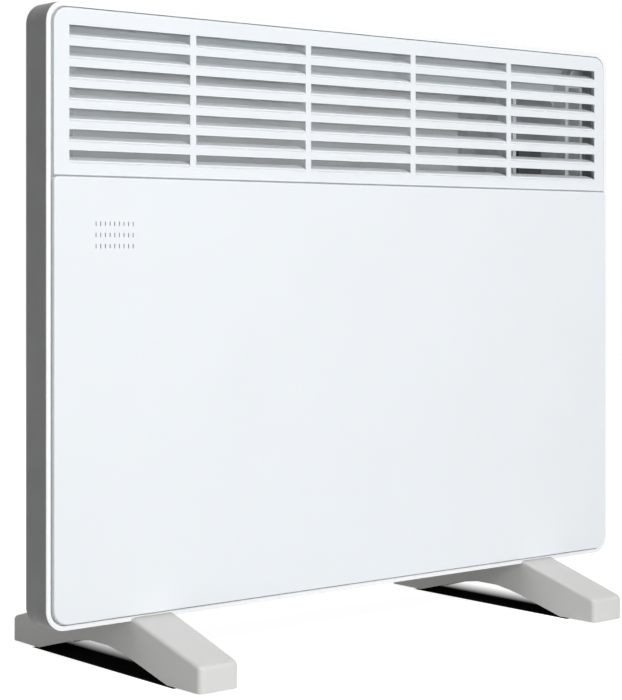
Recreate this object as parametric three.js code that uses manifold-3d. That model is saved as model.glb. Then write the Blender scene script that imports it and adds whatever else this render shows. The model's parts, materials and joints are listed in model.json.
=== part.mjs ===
// Wall panel convector heater on a pair of screwed-on feet.
// Millimetres, +Z up, front towards -Y. The origin is on the floor, under the middle of the heater.
// Air comes in through the underside, rises past the heating element and leaves by the louvres.

import * as THREE from 'three';
import { mergeVertices } from 'three/addons/utils/BufferGeometryUtils.js';
import Module from 'manifold-3d';

const wasm = await Module();
wasm.setup();

// ---------------------------------------------------------------- driving dimensions

// casing
const CASING_WIDTH = 526;
const CASING_HEIGHT = 400;
const CASING_DEPTH = 75;            // lip plane to the back of the rear cover
const GROUND_CLEARANCE = 36;        // floor to the underside of the casing
const CORNER_RADIUS = 13.5;         // outer corner of the lip and the shell
const SHEET = 1;                    // wall of every pressed sheet piece
const FIT_GAP = 0.3;                // between two pieces that touch

// front frame
const LIP_WIDTH = 3;
const LIP_THICKNESS = 0.8;
const FRAME_STEP = 4.5;             // lip plane to the groove floor
const FRAME_FLOOR = 13;             // how far the groove floor reaches in past the lip
const CROSSBAR_HEIGHT = 18;         // the strip behind the seam of the two panels
const RELEASE_SLOT = { height: 4, width: 1, above: 64.5 };

// the two front panels
const GROOVE = 1.5;                 // between the lip and the panels
const SEAM_GAP = 1;
const GRILLE_PROUD = 0.8;           // face of the grille in front of the lip
const PANEL_PROUD = 3;              // face of the lower panel in front of the lip
const PANEL_TOP_RADIUS = 3;
const PANEL_EDGE_RADIUS = 2.2;      // bend between the panel's face and its sides
const GRILLE_EDGE_RADIUS = 0.6;

// louvres
const LOUVRE_COLUMNS = 5;
const LOUVRE_ROWS = 7;
const SLOT_MARGIN = { side: 11.2, top: 10.8, bottom: 7.9 };        // from the edges of the grille
const SLOT_BRIDGE = 4.9;            // sheet left between two columns
const SLOT_HEIGHT = 7.5;
const SLOT_PITCH_Z = 13.3;
const BLADE_ANGLE = 72;             // degrees that a blade is bent in from the face
const BLADE_BEND_RADIUS = 1.2;      // outer radius of that bend
const BLADE_CORNER_RADIUS = 4;      // free corners of a blade
const BLADE_SIDE_GAP = 0.3;
const BLADE_ROOT = 0.6;             // how far a blade is rooted in the sheet under its slot

// small vents in front of the room sensor
const VENT = { rows: 3, columns: 9, width: 1.2, height: 3.3, pitchX: 3.59, pitchZ: 7.2 };
const VENT_INSET = 49.6;            // middle of the vents from the left side of the casing
const VENT_DROP = 37.5;             // middle of the vents below the seam

// casing shell and rear cover
const SHELL_DEPTH = 25;             // lip plane to the back of the shell
const REAR_INSET_SIDE = 34;
const REAR_INSET_TOP = 32;
const REAR_TOP_RADIUS = 18;
const REAR_BOTTOM_RADIUS = 5;
const REAR_EDGE_RADIUS = 4;
const REAR_FLANGE = 10;
const RECESS = { depth: 2, margin: 20, bottom: 70, below: 133, radius: 12 }; // margin to the partition
const KEYHOLE = { inset: 79, below: 96, headRadius: 5.5, slotRadius: 2.6, drop: 9 };
const INLET = { length: 34, width: 6, pitch: 42, columns: 7 };
const INLET_ROWS = [39.5, 25.5, 11.5];            // in front of the back wall
const SHELL_INLET = { behind: 13.5, width: 8 };   // behind the lip plane

// feet
const FOOT_INSET = 81;              // side of the casing to the middle of a foot
const FOOT_LENGTH = 218;
const FOOT_WIDTH = 33.5;            // at the casing
const TOE_WIDTH = 30;
const TOE_HEIGHT = 17;
const TOE_ROUND = 4;
const FOOT_EDGE_RADIUS = 2.6;
const FOOT_WALL = 2.4;
const FOOT_RIM = { height: 2.4, width: 1.4 };     // the edge that stands up before and behind the casing
const FOOT_BASE = 0.8;              // height of the moulding's lower edge over the floor
const ARCH = { flat: 18, height: 16, reach: 77, blend: 6, shoulder: 14, drop: 3.2 };
const PAD = { length: 24, height: 6, inset: 4, corner: 3, sideGap: 0.9 };
const FOOT_SCREW_INSET = 15.5;      // front and back of the casing to a foot's screws
const FOOT_BOSS = { radius: 5.5, bottom: 22 };
const FOOT_RIB_Y = 52;
const RIB = 1.6;

// heating element
const ELEMENT = { inFront: 31.5, above: 76, endGap: 5.5, arm: 27, armThickness: 2.6, hub: 8 };
const ELEMENT_RIB = { count: 4, first: 10, pitch: 4.6, thickness: 1.5, reach: 4.2, growth: 1.6 };
const ROD_RADIUS = 4.2;
const ROD_OVERHANG = 12;            // past the outer face of each insulator
const TERMINAL = { radius: 1.6, length: 9 };
const ROD_CAP = { length: 3, taper: 1 };
const BUSH = { radius: 9, groove: 7, length: 9 };
const END_BRACKET = { inset: 37, width: 44, above: 26, flange: 14 };

// heat shield, partition and control bracket
const PARTITION = { inset: 60, behind: 12, flange: 3 };
const WIRE_PASS = { behind: 37.5, below: 142, radius: 4 };         // hole in the partition
const SHIELD = { inset: 23, above: 16, belowSeam: 27, lowerFold: 4, upperFold: 2 };
const SHIELD_LEG = { inset: 20, width: 12 };
const BRACKET = { behind: 11, length: 214, below: 23, tab: 9, tabWidth: 8 };

// controls, in front of the back wall and below the top of the rear cover
const CONTROLS_IN_FRONT = 24;
const KNOB = {
  below: 64, radius: 17, height: 13.5, flutes: 12, flute: 0.9, skirt: 2.4, skirtHeight: 2.6, crown: 1.2,
  rest: 140,
};
const POINTER = { width: 1.6, height: 0.6, from: 3, to: 12.5 };
const SHAFT = { radius: 3, flat: 2.2, reach: 9, depth: 12 };      // depth inside the thermostat
const THERMOSTAT = { length: 26, width: 28, height: 40, bushRadius: 5 };
const SWITCH = { below: 116, halfHeight: 11.6, halfWidth: 7.4, depth: 20, flange: 2.6, rim: 1.6 };
const KEY = { radius: 9.4, halfWidth: 5.4, pivotDepth: 3, proud: 1.6, tail: 24, dip: 1.2, tilt: 8.5 };
const PLATE = { halfWidth: 18.5, length: 100, below: 38, thickness: 2, radius: 6 };
const SENSOR = { radius: 3, length: 50, behind: 3.9, clipAt: 12, clipWidth: 6, clipWall: 1.2 };
const CAPILLARY_RADIUS = 0.9;

// electrical parts
const CUTOUT = {
  x: 0, belowShield: 93, radius: 9, depth: 9, ear: 4.5, earHalf: 4, bladeX: 4, bladeHalf: 2, blade: 5,
};
const TERMINAL_BLOCK = {
  inset: 26, above: 52, length: 34, height: 16, depth: 14, ways: 3,
  well: 2.6, wellDepth: 4, notch: 1.6, notchDepth: 6,
};
const GLAND = { above: 32, bore: 4.2, radius: 8, head: 11, brim: 2.4, headDepth: 6, taper: 3, reach: 8 };
const GLAND_NUT = { across: 12, length: 4 };
const WIRE_RADIUS = 1.1;

// fasteners
const SCREW = { shank: 2, head: 4, headHeight: 2.2, length: 9 };
const FOOT_SCREW = { shank: 2, head: 4, headHeight: 2.4, length: 21 };
const EARTH = { below: 9, length: 4 };
const SCREW_CROWN = 0.7;            // flat of a screw's head as a share of its radius
const SCREW_SIDES = 8;
const FRAME_TAB_WIDTH = 22;
const FRAME_SCREW_HEIGHTS = [88, 220];            // above the underside of the casing
const COVER_SCREW_HEIGHT = 24;                    // the lowest pair, above the underside

// rounding in facets
const CORNER_STEPS = 5;
const ROUND_SIDES = 16;
const FINE_SIDES = 12;              // small bores and pins
const KNOB_SIDES = 24;
const WIRE_SIDES = 5;
const PAST = 1;                     // how far a cutter reaches past what it cuts

// ---------------------------------------------------------------- places worked out from them

const HALF_WIDTH = CASING_WIDTH / 2;
const FRONT_Y = -CASING_DEPTH / 2;
const BACK_Y = CASING_DEPTH / 2;
const BOTTOM_Z = GROUND_CLEARANCE;
const TOP_Z = BOTTOM_Z + CASING_HEIGHT;
const FLOOR_Y = FRONT_Y + FRAME_STEP;             // front of the groove floor
const SHELL_BACK_Y = FRONT_Y + SHELL_DEPTH;
const COVER_FRONT_Y = SHELL_BACK_Y + FIT_GAP;
const PANEL_INSET = LIP_WIDTH + GROOVE;
const SLOTS_HEIGHT = SLOT_MARGIN.top + (LOUVRE_ROWS - 1) * SLOT_PITCH_Z + SLOT_HEIGHT + SLOT_MARGIN.bottom;
const SEAM_Z = TOP_Z - PANEL_INSET - SLOTS_HEIGHT - SEAM_GAP / 2;
const SLOT_SPAN = CASING_WIDTH - 2 * (PANEL_INSET + SLOT_MARGIN.side);
const SLOT_PITCH_X = (SLOT_SPAN + SLOT_BRIDGE) / LOUVRE_COLUMNS;
const SLOT_LENGTH = SLOT_PITCH_X - SLOT_BRIDGE;
const VENT_X = VENT_INSET - HALF_WIDTH;
const VENT_Z = SEAM_Z - VENT_DROP;
const COVER_HALF_WIDTH = HALF_WIDTH - REAR_INSET_SIDE;
const COVER_TOP_Z = TOP_Z - REAR_INSET_TOP;
const INNER_WALL_X = COVER_HALF_WIDTH - SHEET;
const INNER_BACK_Y = BACK_Y - SHEET;
const INNER_BOTTOM_Z = BOTTOM_Z + SHEET;
const FOOT_TOP_Z = BOTTOM_Z - FIT_GAP;
const FOOT_X = HALF_WIDTH - FOOT_INSET;
const FOOT_SCREW_Y = BACK_Y - FOOT_SCREW_INSET;
const ELEMENT_Y = BACK_Y - ELEMENT.inFront;
const ELEMENT_Z = BOTTOM_Z + ELEMENT.above;
const END_BRACKET_X = END_BRACKET.inset - COVER_HALF_WIDTH;
const PARTITION_X = COVER_HALF_WIDTH - PARTITION.inset;
const PARTITION_FRONT_Y = FRONT_Y + PARTITION.behind;
const WIRE_PASS_Y = FRONT_Y + WIRE_PASS.behind;
const WIRE_PASS_Z = COVER_TOP_Z - WIRE_PASS.below;
const SHIELD_TOP_Z = SEAM_Z - SHIELD.belowSeam;
const CONTROL_Y = BACK_Y - CONTROLS_IN_FRONT;
const KNOB_Z = COVER_TOP_Z - KNOB.below;
const SWITCH_Z = COVER_TOP_Z - SWITCH.below;
const CUTOUT_Z = SHIELD_TOP_Z - CUTOUT.belowShield;
const BLOCK_X = COVER_HALF_WIDTH - TERMINAL_BLOCK.inset;
const BLOCK_Z = BOTTOM_Z + TERMINAL_BLOCK.above;
const GLAND_Z = BOTTOM_Z + GLAND.above;
const TURN = Math.PI * 2;
const RIGHT_ANGLE = Math.PI / 2;

const CASING = {
  left: -HALF_WIDTH, right: HALF_WIDTH, bottom: BOTTOM_Z, top: TOP_Z,
  bottomRadius: CORNER_RADIUS, topRadius: CORNER_RADIUS,
};
const COVER = {
  left: -COVER_HALF_WIDTH, right: COVER_HALF_WIDTH, bottom: BOTTOM_Z, top: COVER_TOP_Z,
  bottomRadius: REAR_BOTTOM_RADIUS, topRadius: REAR_TOP_RADIUS,
};

// ---------------------------------------------------------------- finishes

function finish(color, roughness, metalness = 0) {
  return new THREE.MeshStandardMaterial({ color, roughness, metalness });
}

const WHITE_ENAMEL = ['#f1f3f5', 0.42];
const WHITE_LIP = ['#fbfbfc', 0.38];
const GREY_ENAMEL = ['#76797a', 0.5];
const FOOT_PLASTIC = ['#cbcbc8', 0.55];
const RUBBER = ['#4b4b4b', 0.9];
const ZINC = ['#a9adb0', 0.4, 0.9];
const ALUMINIUM = ['#b9bcbf', 0.45, 0.9];
const STEEL = ['#8f9294', 0.35, 1];
const COPPER = ['#b87348', 0.35, 1];
const DARK_PLASTIC = ['#3c3e40', 0.5];
const KNOB_PLASTIC = ['#d6d7d6', 0.5];
const CERAMIC = ['#e6e0d2', 0.7];

// ---------------------------------------------------------------- solids

function signedVolume(position, index) {
  const a = new THREE.Vector3();
  const b = new THREE.Vector3();
  const c = new THREE.Vector3();
  let volume = 0;
  for (let i = 0; i < index.length; i += 3) {
    a.fromBufferAttribute(position, index[i]);
    b.fromBufferAttribute(position, index[i + 1]);
    c.fromBufferAttribute(position, index[i + 2]);
    volume += a.dot(b.cross(c)) / 6;
  }
  return volume;
}

// A closed geometry as a solid, turned right side out if its faces were drawn facing in.
function solid(geometry) {
  geometry.deleteAttribute('normal');
  geometry.deleteAttribute('uv');
  const merged = mergeVertices(geometry, 1e-4);
  const corners = Uint32Array.from(merged.index.array);
  if (signedVolume(merged.attributes.position, corners) < 0) corners.reverse();
  return new wasm.Manifold(new wasm.Mesh({
    numProp: 3,
    vertProperties: Float32Array.from(merged.attributes.position.array),
    triVerts: corners,
  }));
}

function join(first, ...others) {
  return others.flat().reduce((sum, other) => sum.add(other), first);
}

function cut(first, ...others) {
  return others.flat().reduce((rest, other) => rest.subtract(other), first);
}

function meshOf(name, body, look) {
  const { vertProperties, triVerts } = body.getMesh();
  const geometry = new THREE.BufferGeometry();
  geometry.setAttribute('position', new THREE.BufferAttribute(Float32Array.from(vertProperties), 3));
  geometry.setIndex(Array.from(triVerts));
  geometry.computeVertexNormals();
  const mesh = new THREE.Mesh(geometry, finish(...look));
  mesh.name = name;
  return mesh;
}

function shapeOf(points) {
  return new THREE.Shape(points.map(([x, y]) => new THREE.Vector2(x, y)));
}

function extruded(shape, depth, curveSegments) {
  return new THREE.ExtrudeGeometry(shape, { depth, bevelEnabled: false, curveSegments });
}

const ALONG_X = new THREE.Matrix4().makeBasis(
  new THREE.Vector3(0, 1, 0), new THREE.Vector3(0, 0, 1), new THREE.Vector3(1, 0, 0),
);

// A shape drawn in Y and Z, pushed along X.
function prismX(shape, from, to, curveSegments = CORNER_STEPS) {
  return solid(extruded(shape, to - from, curveSegments).applyMatrix4(ALONG_X).translate(from, 0, 0));
}

// A shape drawn in X and Z as seen from the front, pushed along Y.
function prismY(shape, from, to, curveSegments = CORNER_STEPS) {
  return solid(extruded(shape, to - from, curveSegments).rotateX(RIGHT_ANGLE).translate(0, to, 0));
}

// A shape drawn in X and Y, pushed up.
function prismZ(shape, from, to, curveSegments = CORNER_STEPS) {
  return solid(extruded(shape, to - from, curveSegments).translate(0, 0, from));
}

function block(x0, x1, y0, y1, z0, z1) {
  const geometry = new THREE.BoxGeometry(x1 - x0, y1 - y0, z1 - z0);
  return solid(geometry.translate((x0 + x1) / 2, (y0 + y1) / 2, (z0 + z1) / 2));
}

// A block between two places along X given in either order.
function spanX(first, second, ...rest) {
  return block(Math.min(first, second), Math.max(first, second), ...rest);
}

// A profile of [radius, height] pairs that starts and ends on the axis, turned about Y, X or Z.
function turned(profile, axis, [x, y, z], sides = ROUND_SIDES) {
  const points = profile.map(([radius, height]) => new THREE.Vector2(radius, height));
  const geometry = new THREE.LatheGeometry(points, sides);
  if (axis === 'x') geometry.rotateZ(-RIGHT_ANGLE);
  if (axis === 'z') geometry.rotateX(RIGHT_ANGLE);
  return solid(geometry.translate(x, y, z));
}

// A round bar along an axis, from one place on that axis to another.
function bar(radius, axis, [x, y, z], length, sides = ROUND_SIDES) {
  return turned([[0, 0], [radius, 0], [radius, length], [0, length]], axis, [x, y, z], sides);
}

// Closed rings with the same number of points, skinned and capped at both ends.
function skin(rings) {
  const count = rings[0].length;
  const position = rings.flat(2);
  const index = [];
  for (let r = 0; r + 1 < rings.length; r += 1) {
    for (let i = 0; i < count; i += 1) {
      const a = r * count + i;
      const b = r * count + ((i + 1) % count);
      index.push(a, b, b + count, a, b + count, a + count);
    }
  }
  const last = (rings.length - 1) * count;
  for (let i = 1; i + 1 < count; i += 1) {
    index.push(0, i + 1, i);
    index.push(last, last + i, last + i + 1);
  }
  const geometry = new THREE.BufferGeometry();
  geometry.setAttribute('position', new THREE.BufferAttribute(Float32Array.from(position), 3));
  geometry.setIndex(index);
  return solid(geometry);
}

// A rounded rectangle as [x, z] pairs, every side drawn in by inset.
function roundedOutline(frame, inset = 0) {
  const corners = [
    [frame.left, frame.bottom, frame.bottomRadius, Math.PI, 1, 1],
    [frame.right, frame.bottom, frame.bottomRadius, 1.5 * Math.PI, -1, 1],
    [frame.right, frame.top, frame.topRadius, 0, -1, -1],
    [frame.left, frame.top, frame.topRadius, RIGHT_ANGLE, 1, -1],
  ];
  const smallest = 0.3;
  return corners.flatMap(([x, z, radius, start, inX, inZ]) => {
    const r = Math.max(radius - inset, smallest);
    return Array.from({ length: CORNER_STEPS + 1 }, (_, i) => {
      const angle = start + (i / CORNER_STEPS) * RIGHT_ANGLE;
      return [
        x + inX * (inset + r) + r * Math.cos(angle),
        z + inZ * (inset + r) + r * Math.sin(angle),
      ];
    });
  });
}

function slab(frame, inset, from, to) {
  return prismY(shapeOf(roundedOutline(frame, inset)), from, to);
}

// A flat ring between two insets of the same rounded rectangle.
function ring(frame, outer, inner, from, to) {
  return cut(slab(frame, outer, from, to), slab(frame, inner, from - PAST, to + PAST));
}

// A block whose outline rounds over into its flat end; the end is at y = face.
function dish(frame, inset, open, face, radius, steps) {
  const away = Math.sign(face - open);
  const bend = Math.max(radius, 0.2);
  const ringAt = (y, shrink) => roundedOutline(frame, inset + shrink).map(([x, z]) => [x, y, z]);
  const rings = [ringAt(open, 0)];
  for (let i = 0; i <= steps; i += 1) {
    const angle = (i / steps) * RIGHT_ANGLE;
    rings.push(ringAt(face - away * bend * (1 - Math.sin(angle)), bend * (1 - Math.cos(angle))));
  }
  return skin(rings);
}

// A sheet tray: sides standing back from a flat face, with a rounded bend between them.
function tray(frame, open, face, radius, steps) {
  const away = Math.sign(face - open);
  const outside = dish(frame, 0, open, face, radius, steps);
  const inside = dish(frame, SHEET, open - away, face - away * SHEET, radius - SHEET, 1);
  return cut(outside, inside);
}

// A slot with round ends, drawn in the plane of the shape.
function stadium(cx, cy, length, width) {
  const r = width / 2;
  const shape = new THREE.Shape();
  shape.absarc(cx + length / 2 - r, cy, r, -RIGHT_ANGLE, RIGHT_ANGLE, false);
  shape.absarc(cx - length / 2 + r, cy, r, RIGHT_ANGLE, 3 * RIGHT_ANGLE, false);
  return shape;
}

function rounded(x0, y0, x1, y1, radius) {
  const frame = { left: x0, right: x1, bottom: y0, top: y1, bottomRadius: radius, topRadius: radius };
  return shapeOf(roundedOutline(frame));
}

// ---------------------------------------------------------------- front frame

function frontFrame() {
  const wallStart = LIP_WIDTH - SHEET;
  const floorEnd = LIP_WIDTH + FRAME_FLOOR;
  const lip = ring(CASING, 0, LIP_WIDTH, FRONT_Y, FRONT_Y + LIP_THICKNESS);
  const wall = ring(CASING, wallStart, LIP_WIDTH, FRONT_Y, FLOOR_Y + SHEET);
  const floor = ring(CASING, wallStart, floorEnd, FLOOR_Y, FLOOR_Y + SHEET);
  const reach = HALF_WIDTH - floorEnd + SHEET;
  const crossbar = block(
    -reach, reach, FLOOR_Y, FLOOR_Y + SHEET, SEAM_Z - CROSSBAR_HEIGHT / 2, SEAM_Z + CROSSBAR_HEIGHT / 2,
  );
  const slotX = HALF_WIDTH - LIP_WIDTH - RELEASE_SLOT.width;
  const slotZ = BOTTOM_Z + RELEASE_SLOT.above;
  const slots = [-1, 1].map((side) => spanX(
    side * slotX, side * (slotX + RELEASE_SLOT.width), FLOOR_Y - PAST, FLOOR_Y + SHEET + PAST,
    slotZ - RELEASE_SLOT.height / 2, slotZ + RELEASE_SLOT.height / 2,
  ));
  const holes = frameScrewPlaces().map(([x, z]) => bar(
    SCREW.shank + FIT_GAP, 'y', [x, FLOOR_Y - PAST, z], SHEET + 2 * PAST, SCREW_SIDES,
  ));
  return cut(join(lip, wall, floor, crossbar), slots, holes);
}

// ---------------------------------------------------------------- grille and front panel

function panelFrame(bottom, top, bottomRadius, topRadius) {
  const half = HALF_WIDTH - PANEL_INSET;
  return { left: -half, right: half, bottom, top, bottomRadius, topRadius };
}

const PANEL_CORNER = CORNER_RADIUS - LIP_WIDTH;
const GRILLE_FACE_Y = FRONT_Y - GRILLE_PROUD;
const PANEL_FACE_Y = FRONT_Y - PANEL_PROUD;
const TRAY_BACK_Y = FLOOR_Y - FIT_GAP;
const GRILLE_TOP_Z = TOP_Z - PANEL_INSET;

function slotCentreX(column) {
  return (column - (LOUVRE_COLUMNS - 1) / 2) * SLOT_PITCH_X;
}

function slotBottomZ(row) {
  return GRILLE_TOP_Z - SLOT_MARGIN.top - SLOT_HEIGHT - row * SLOT_PITCH_Z;
}

// One blade: the flap of sheet freed by its slot, bent inwards about the slot's lower edge.
// It is made standing on z = 0 at the back of the face and is then moved to its slot.
function louvreBlade() {
  const angle = THREE.MathUtils.degToRad(BLADE_ANGLE);
  const outer = BLADE_BEND_RADIUS;
  const inner = outer - SHEET;
  const half = SLOT_LENGTH / 2 - BLADE_SIDE_GAP;
  const steps = 2;
  const arc = (radius, i) => {
    const turn = (i / steps) * angle;
    return [outer - radius * Math.cos(turn), radius * Math.sin(turn)];
  };
  const outerArc = Array.from({ length: steps + 1 }, (_, i) => arc(outer, i));
  const innerArc = Array.from({ length: steps + 1 }, (_, i) => arc(inner, steps - i));
  const root = -BLADE_ROOT;
  const bend = prismX(shapeOf([[0, root], ...outerArc, ...innerArc, [SHEET, root]]), -half, half);

  const bentLength = ((outer + inner) / 2) * angle;
  const reach = SLOT_HEIGHT - bentLength;
  const corner = Math.min(BLADE_CORNER_RADIUS, reach - 0.2);
  const overlap = 0.1;
  const flap = new THREE.Shape();
  flap.moveTo(-half, -overlap);
  flap.lineTo(half, -overlap);
  flap.absarc(half - corner, reach - corner, corner, 0, RIGHT_ANGLE, false);
  flap.absarc(-half + corner, reach - corner, corner, RIGHT_ANGLE, Math.PI, false);
  const plate = new THREE.ExtrudeGeometry(flap, { depth: SHEET, bevelEnabled: false, curveSegments: 2 });
  plate.rotateX(RIGHT_ANGLE - angle);
  const [startY, startZ] = arc(inner, steps);
  return bend.add(solid(plate.translate(0, startY, startZ)));
}

function outletGrille() {
  const frame = panelFrame(
    SEAM_Z + SEAM_GAP / 2, GRILLE_TOP_Z, GRILLE_EDGE_RADIUS, PANEL_CORNER,
  );
  let body = tray(frame, TRAY_BACK_Y, GRILLE_FACE_Y, GRILLE_EDGE_RADIUS, 2);
  const blade = louvreBlade();
  const slots = [];
  const blades = [];
  for (let row = 0; row < LOUVRE_ROWS; row += 1) {
    for (let column = 0; column < LOUVRE_COLUMNS; column += 1) {
      const x = slotCentreX(column);
      const z = slotBottomZ(row);
      const half = SLOT_LENGTH / 2;
      slots.push(block(
        x - half, x + half, GRILLE_FACE_Y - PAST, GRILLE_FACE_Y + SHEET + PAST, z, z + SLOT_HEIGHT,
      ));
      blades.push(blade.translate([x, GRILLE_FACE_Y, z]));
    }
  }
  body = cut(body, slots);
  return join(body, blades);
}

function frontPanel() {
  const frame = panelFrame(
    BOTTOM_Z + PANEL_INSET, SEAM_Z - SEAM_GAP / 2, PANEL_CORNER, PANEL_TOP_RADIUS,
  );
  const body = tray(frame, TRAY_BACK_Y, PANEL_FACE_Y, PANEL_EDGE_RADIUS, 3);
  const vents = [];
  for (let row = 0; row < VENT.rows; row += 1) {
    for (let column = 0; column < VENT.columns; column += 1) {
      const x = VENT_X + (column - (VENT.columns - 1) / 2) * VENT.pitchX;
      const z = VENT_Z + (row - (VENT.rows - 1) / 2) * VENT.pitchZ;
      vents.push(block(
        x - VENT.width / 2, x + VENT.width / 2, PANEL_FACE_Y - PAST, PANEL_FACE_Y + SHEET + PAST,
        z - VENT.height / 2, z + VENT.height / 2,
      ));
    }
  }
  return cut(body, vents);
}

// ---------------------------------------------------------------- casing shell and rear cover

const FRAME_SCREW_INSET = PANEL_INSET + SHEET + FIT_GAP + SCREW.head;

// The frame is held at four places on its sides, under the front panel.
function frameScrewPlaces() {
  const x = HALF_WIDTH - FRAME_SCREW_INSET;
  return FRAME_SCREW_HEIGHTS.flatMap((height) => [[-x, BOTTOM_Z + height], [x, BOTTOM_Z + height]]);
}

const TAB_FRONT_Y = FLOOR_Y + SHEET + FIT_GAP;

function casingShell() {
  const front = FRONT_Y + LIP_THICKNESS + FIT_GAP;
  const outside = slab(CASING, 0, front, SHELL_BACK_Y);
  const inside = slab(CASING, SHEET, front - PAST, SHELL_BACK_Y - SHEET);
  const mouth = slab(COVER, SHEET, SHELL_BACK_Y - SHEET - PAST, SHELL_BACK_Y + PAST);
  const tabs = frameScrewPlaces().map(([x, z]) => {
    const side = Math.sign(x);
    const edge = side * (HALF_WIDTH - SHEET / 2);
    const inner = side * (HALF_WIDTH - FRAME_SCREW_INSET - SCREW.head);
    return spanX(
      edge, inner, TAB_FRONT_Y, TAB_FRONT_Y + 2 * SHEET, z - FRAME_TAB_WIDTH / 2, z + FRAME_TAB_WIDTH / 2,
    );
  });
  const tabHoles = frameScrewPlaces().map(([x, z]) => bar(
    SCREW.shank + FIT_GAP, 'y', [x, TAB_FRONT_Y - PAST, z], 2 * (SHEET + PAST), SCREW_SIDES,
  ));
  const inletY = FRONT_Y + SHELL_INLET.behind;
  const inlets = inletColumns().map((x) => prismZ(
    stadium(x, inletY, INLET.length, SHELL_INLET.width), BOTTOM_Z - PAST, INNER_BOTTOM_Z + PAST, 2,
  ));
  const coverHoles = coverScrewPlaces().map(([x, z]) => bar(
    SCREW.shank + FIT_GAP, 'y', [x, SHELL_BACK_Y - SHEET - PAST, z], SHEET + 2 * PAST, SCREW_SIDES,
  ));
  return cut(join(cut(outside, inside, mouth), tabs), tabHoles, inlets, coverHoles, footScrewHoles());
}

function inletColumns() {
  return Array.from({ length: INLET.columns }, (_, i) => (i - (INLET.columns - 1) / 2) * INLET.pitch);
}

// Middle of the rear cover's side flanges: three screws down each.
function coverScrewPlaces() {
  const x = COVER_HALF_WIDTH + REAR_FLANGE / 2;
  const low = BOTTOM_Z + COVER_SCREW_HEIGHT;
  const high = COVER_TOP_Z - REAR_TOP_RADIUS;
  return [low, (low + high) / 2, high].flatMap((z) => [[-x, z], [x, z]]);
}

function coverFlange() {
  const wide = {
    ...COVER,
    left: COVER.left - REAR_FLANGE,
    right: COVER.right + REAR_FLANGE,
    top: COVER.top + REAR_FLANGE,
    topRadius: REAR_TOP_RADIUS + REAR_FLANGE,
  };
  return slab(wide, 0, COVER_FRONT_Y, COVER_FRONT_Y + SHEET);
}

// The thermostat's bush and the switch pass through every plate on the right side.
function controlHoles(from, to) {
  const bush = bar(THERMOSTAT.bushRadius + FIT_GAP, 'x', [from, CONTROL_Y, KNOB_Z], to - from, FINE_SIDES);
  const halfWidth = SWITCH.halfWidth + FIT_GAP;
  const halfHeight = SWITCH.halfHeight + FIT_GAP;
  const window = block(
    from, to, CONTROL_Y - halfWidth, CONTROL_Y + halfWidth, SWITCH_Z - halfHeight, SWITCH_Z + halfHeight,
  );
  return [bush, window];
}

function keyholes() {
  const keyholeX = COVER_HALF_WIDTH - KEYHOLE.inset;
  const z = COVER_TOP_Z - KEYHOLE.below;
  return [-1, 1].flatMap((side) => [
    bar(KEYHOLE.headRadius, 'y', [side * keyholeX, INNER_BACK_Y - PAST, z - KEYHOLE.drop],
      SHEET + 2 * PAST, FINE_SIDES),
    prismY(
      rounded(
        side * keyholeX - KEYHOLE.slotRadius, z - KEYHOLE.drop,
        side * keyholeX + KEYHOLE.slotRadius, z + KEYHOLE.slotRadius, KEYHOLE.slotRadius * 0.9,
      ),
      INNER_BACK_Y - PAST, BACK_Y + PAST, 4,
    ),
  ]);
}

function rearCover() {
  const body = join(
    dish(COVER, 0, COVER_FRONT_Y, BACK_Y, REAR_EDGE_RADIUS, 3),
    coverFlange(),
  );
  const hollow = dish(COVER, SHEET, COVER_FRONT_Y - PAST, INNER_BACK_Y, REAR_EDGE_RADIUS - SHEET, 2);
  const recess = {
    left: RECESS.margin - PARTITION_X, right: PARTITION_X - RECESS.margin,
    bottom: BOTTOM_Z + RECESS.bottom, top: COVER_TOP_Z - RECESS.below,
    bottomRadius: RECESS.radius, topRadius: RECESS.radius,
  };
  const pressedIn = slab(recess, -SHEET, INNER_BACK_Y - RECESS.depth, INNER_BACK_Y + SHEET / 2);
  const pressing = slab(recess, 0, BACK_Y - RECESS.depth, BACK_Y + PAST);
  const inlets = INLET_ROWS.flatMap((row) => inletColumns().map((x) => prismZ(
    stadium(x, BACK_Y - row, INLET.length, INLET.width), BOTTOM_Z - PAST, INNER_BOTTOM_Z + PAST, 2,
  )));
  const coverHoles = coverScrewPlaces().map(([x, z]) => bar(
    SCREW.shank + FIT_GAP, 'y', [x, COVER_FRONT_Y - PAST, z], SHEET + 2 * PAST, SCREW_SIDES,
  ));
  const controls = controlHoles(INNER_WALL_X - PAST, COVER_HALF_WIDTH + PAST);
  const glandHole = bar(
    GLAND.radius + FIT_GAP, 'x', [INNER_WALL_X - PAST, CONTROL_Y, GLAND_Z], SHEET + 2 * PAST,
  );
  return cut(
    join(cut(body, hollow), pressedIn),
    pressing, inlets, footScrewHoles(), coverHoles, controls, glandHole, keyholes(),
  );
}

// ---------------------------------------------------------------- feet

// The front screw of a foot holds the shell and the rear one the cover.
function footScrewPlaces() {
  return [-1, 1].flatMap((side) => [-1, 1].map((end) => [side * FOOT_X, end * FOOT_SCREW_Y]));
}

function footScrewHoles() {
  return footScrewPlaces().map(([x, y]) => bar(
    FOOT_SCREW.shank + FIT_GAP, 'z', [x, y, BOTTOM_Z - PAST], SHEET + 2 * PAST, SCREW_SIDES,
  ));
}

const CREST_Y = CASING_DEPTH / 2 + FIT_GAP + FOOT_RIM.width;
const CREST_Z = FOOT_TOP_Z + FOOT_RIM.height;
const TIP_Y = FOOT_LENGTH / 2;

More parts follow.
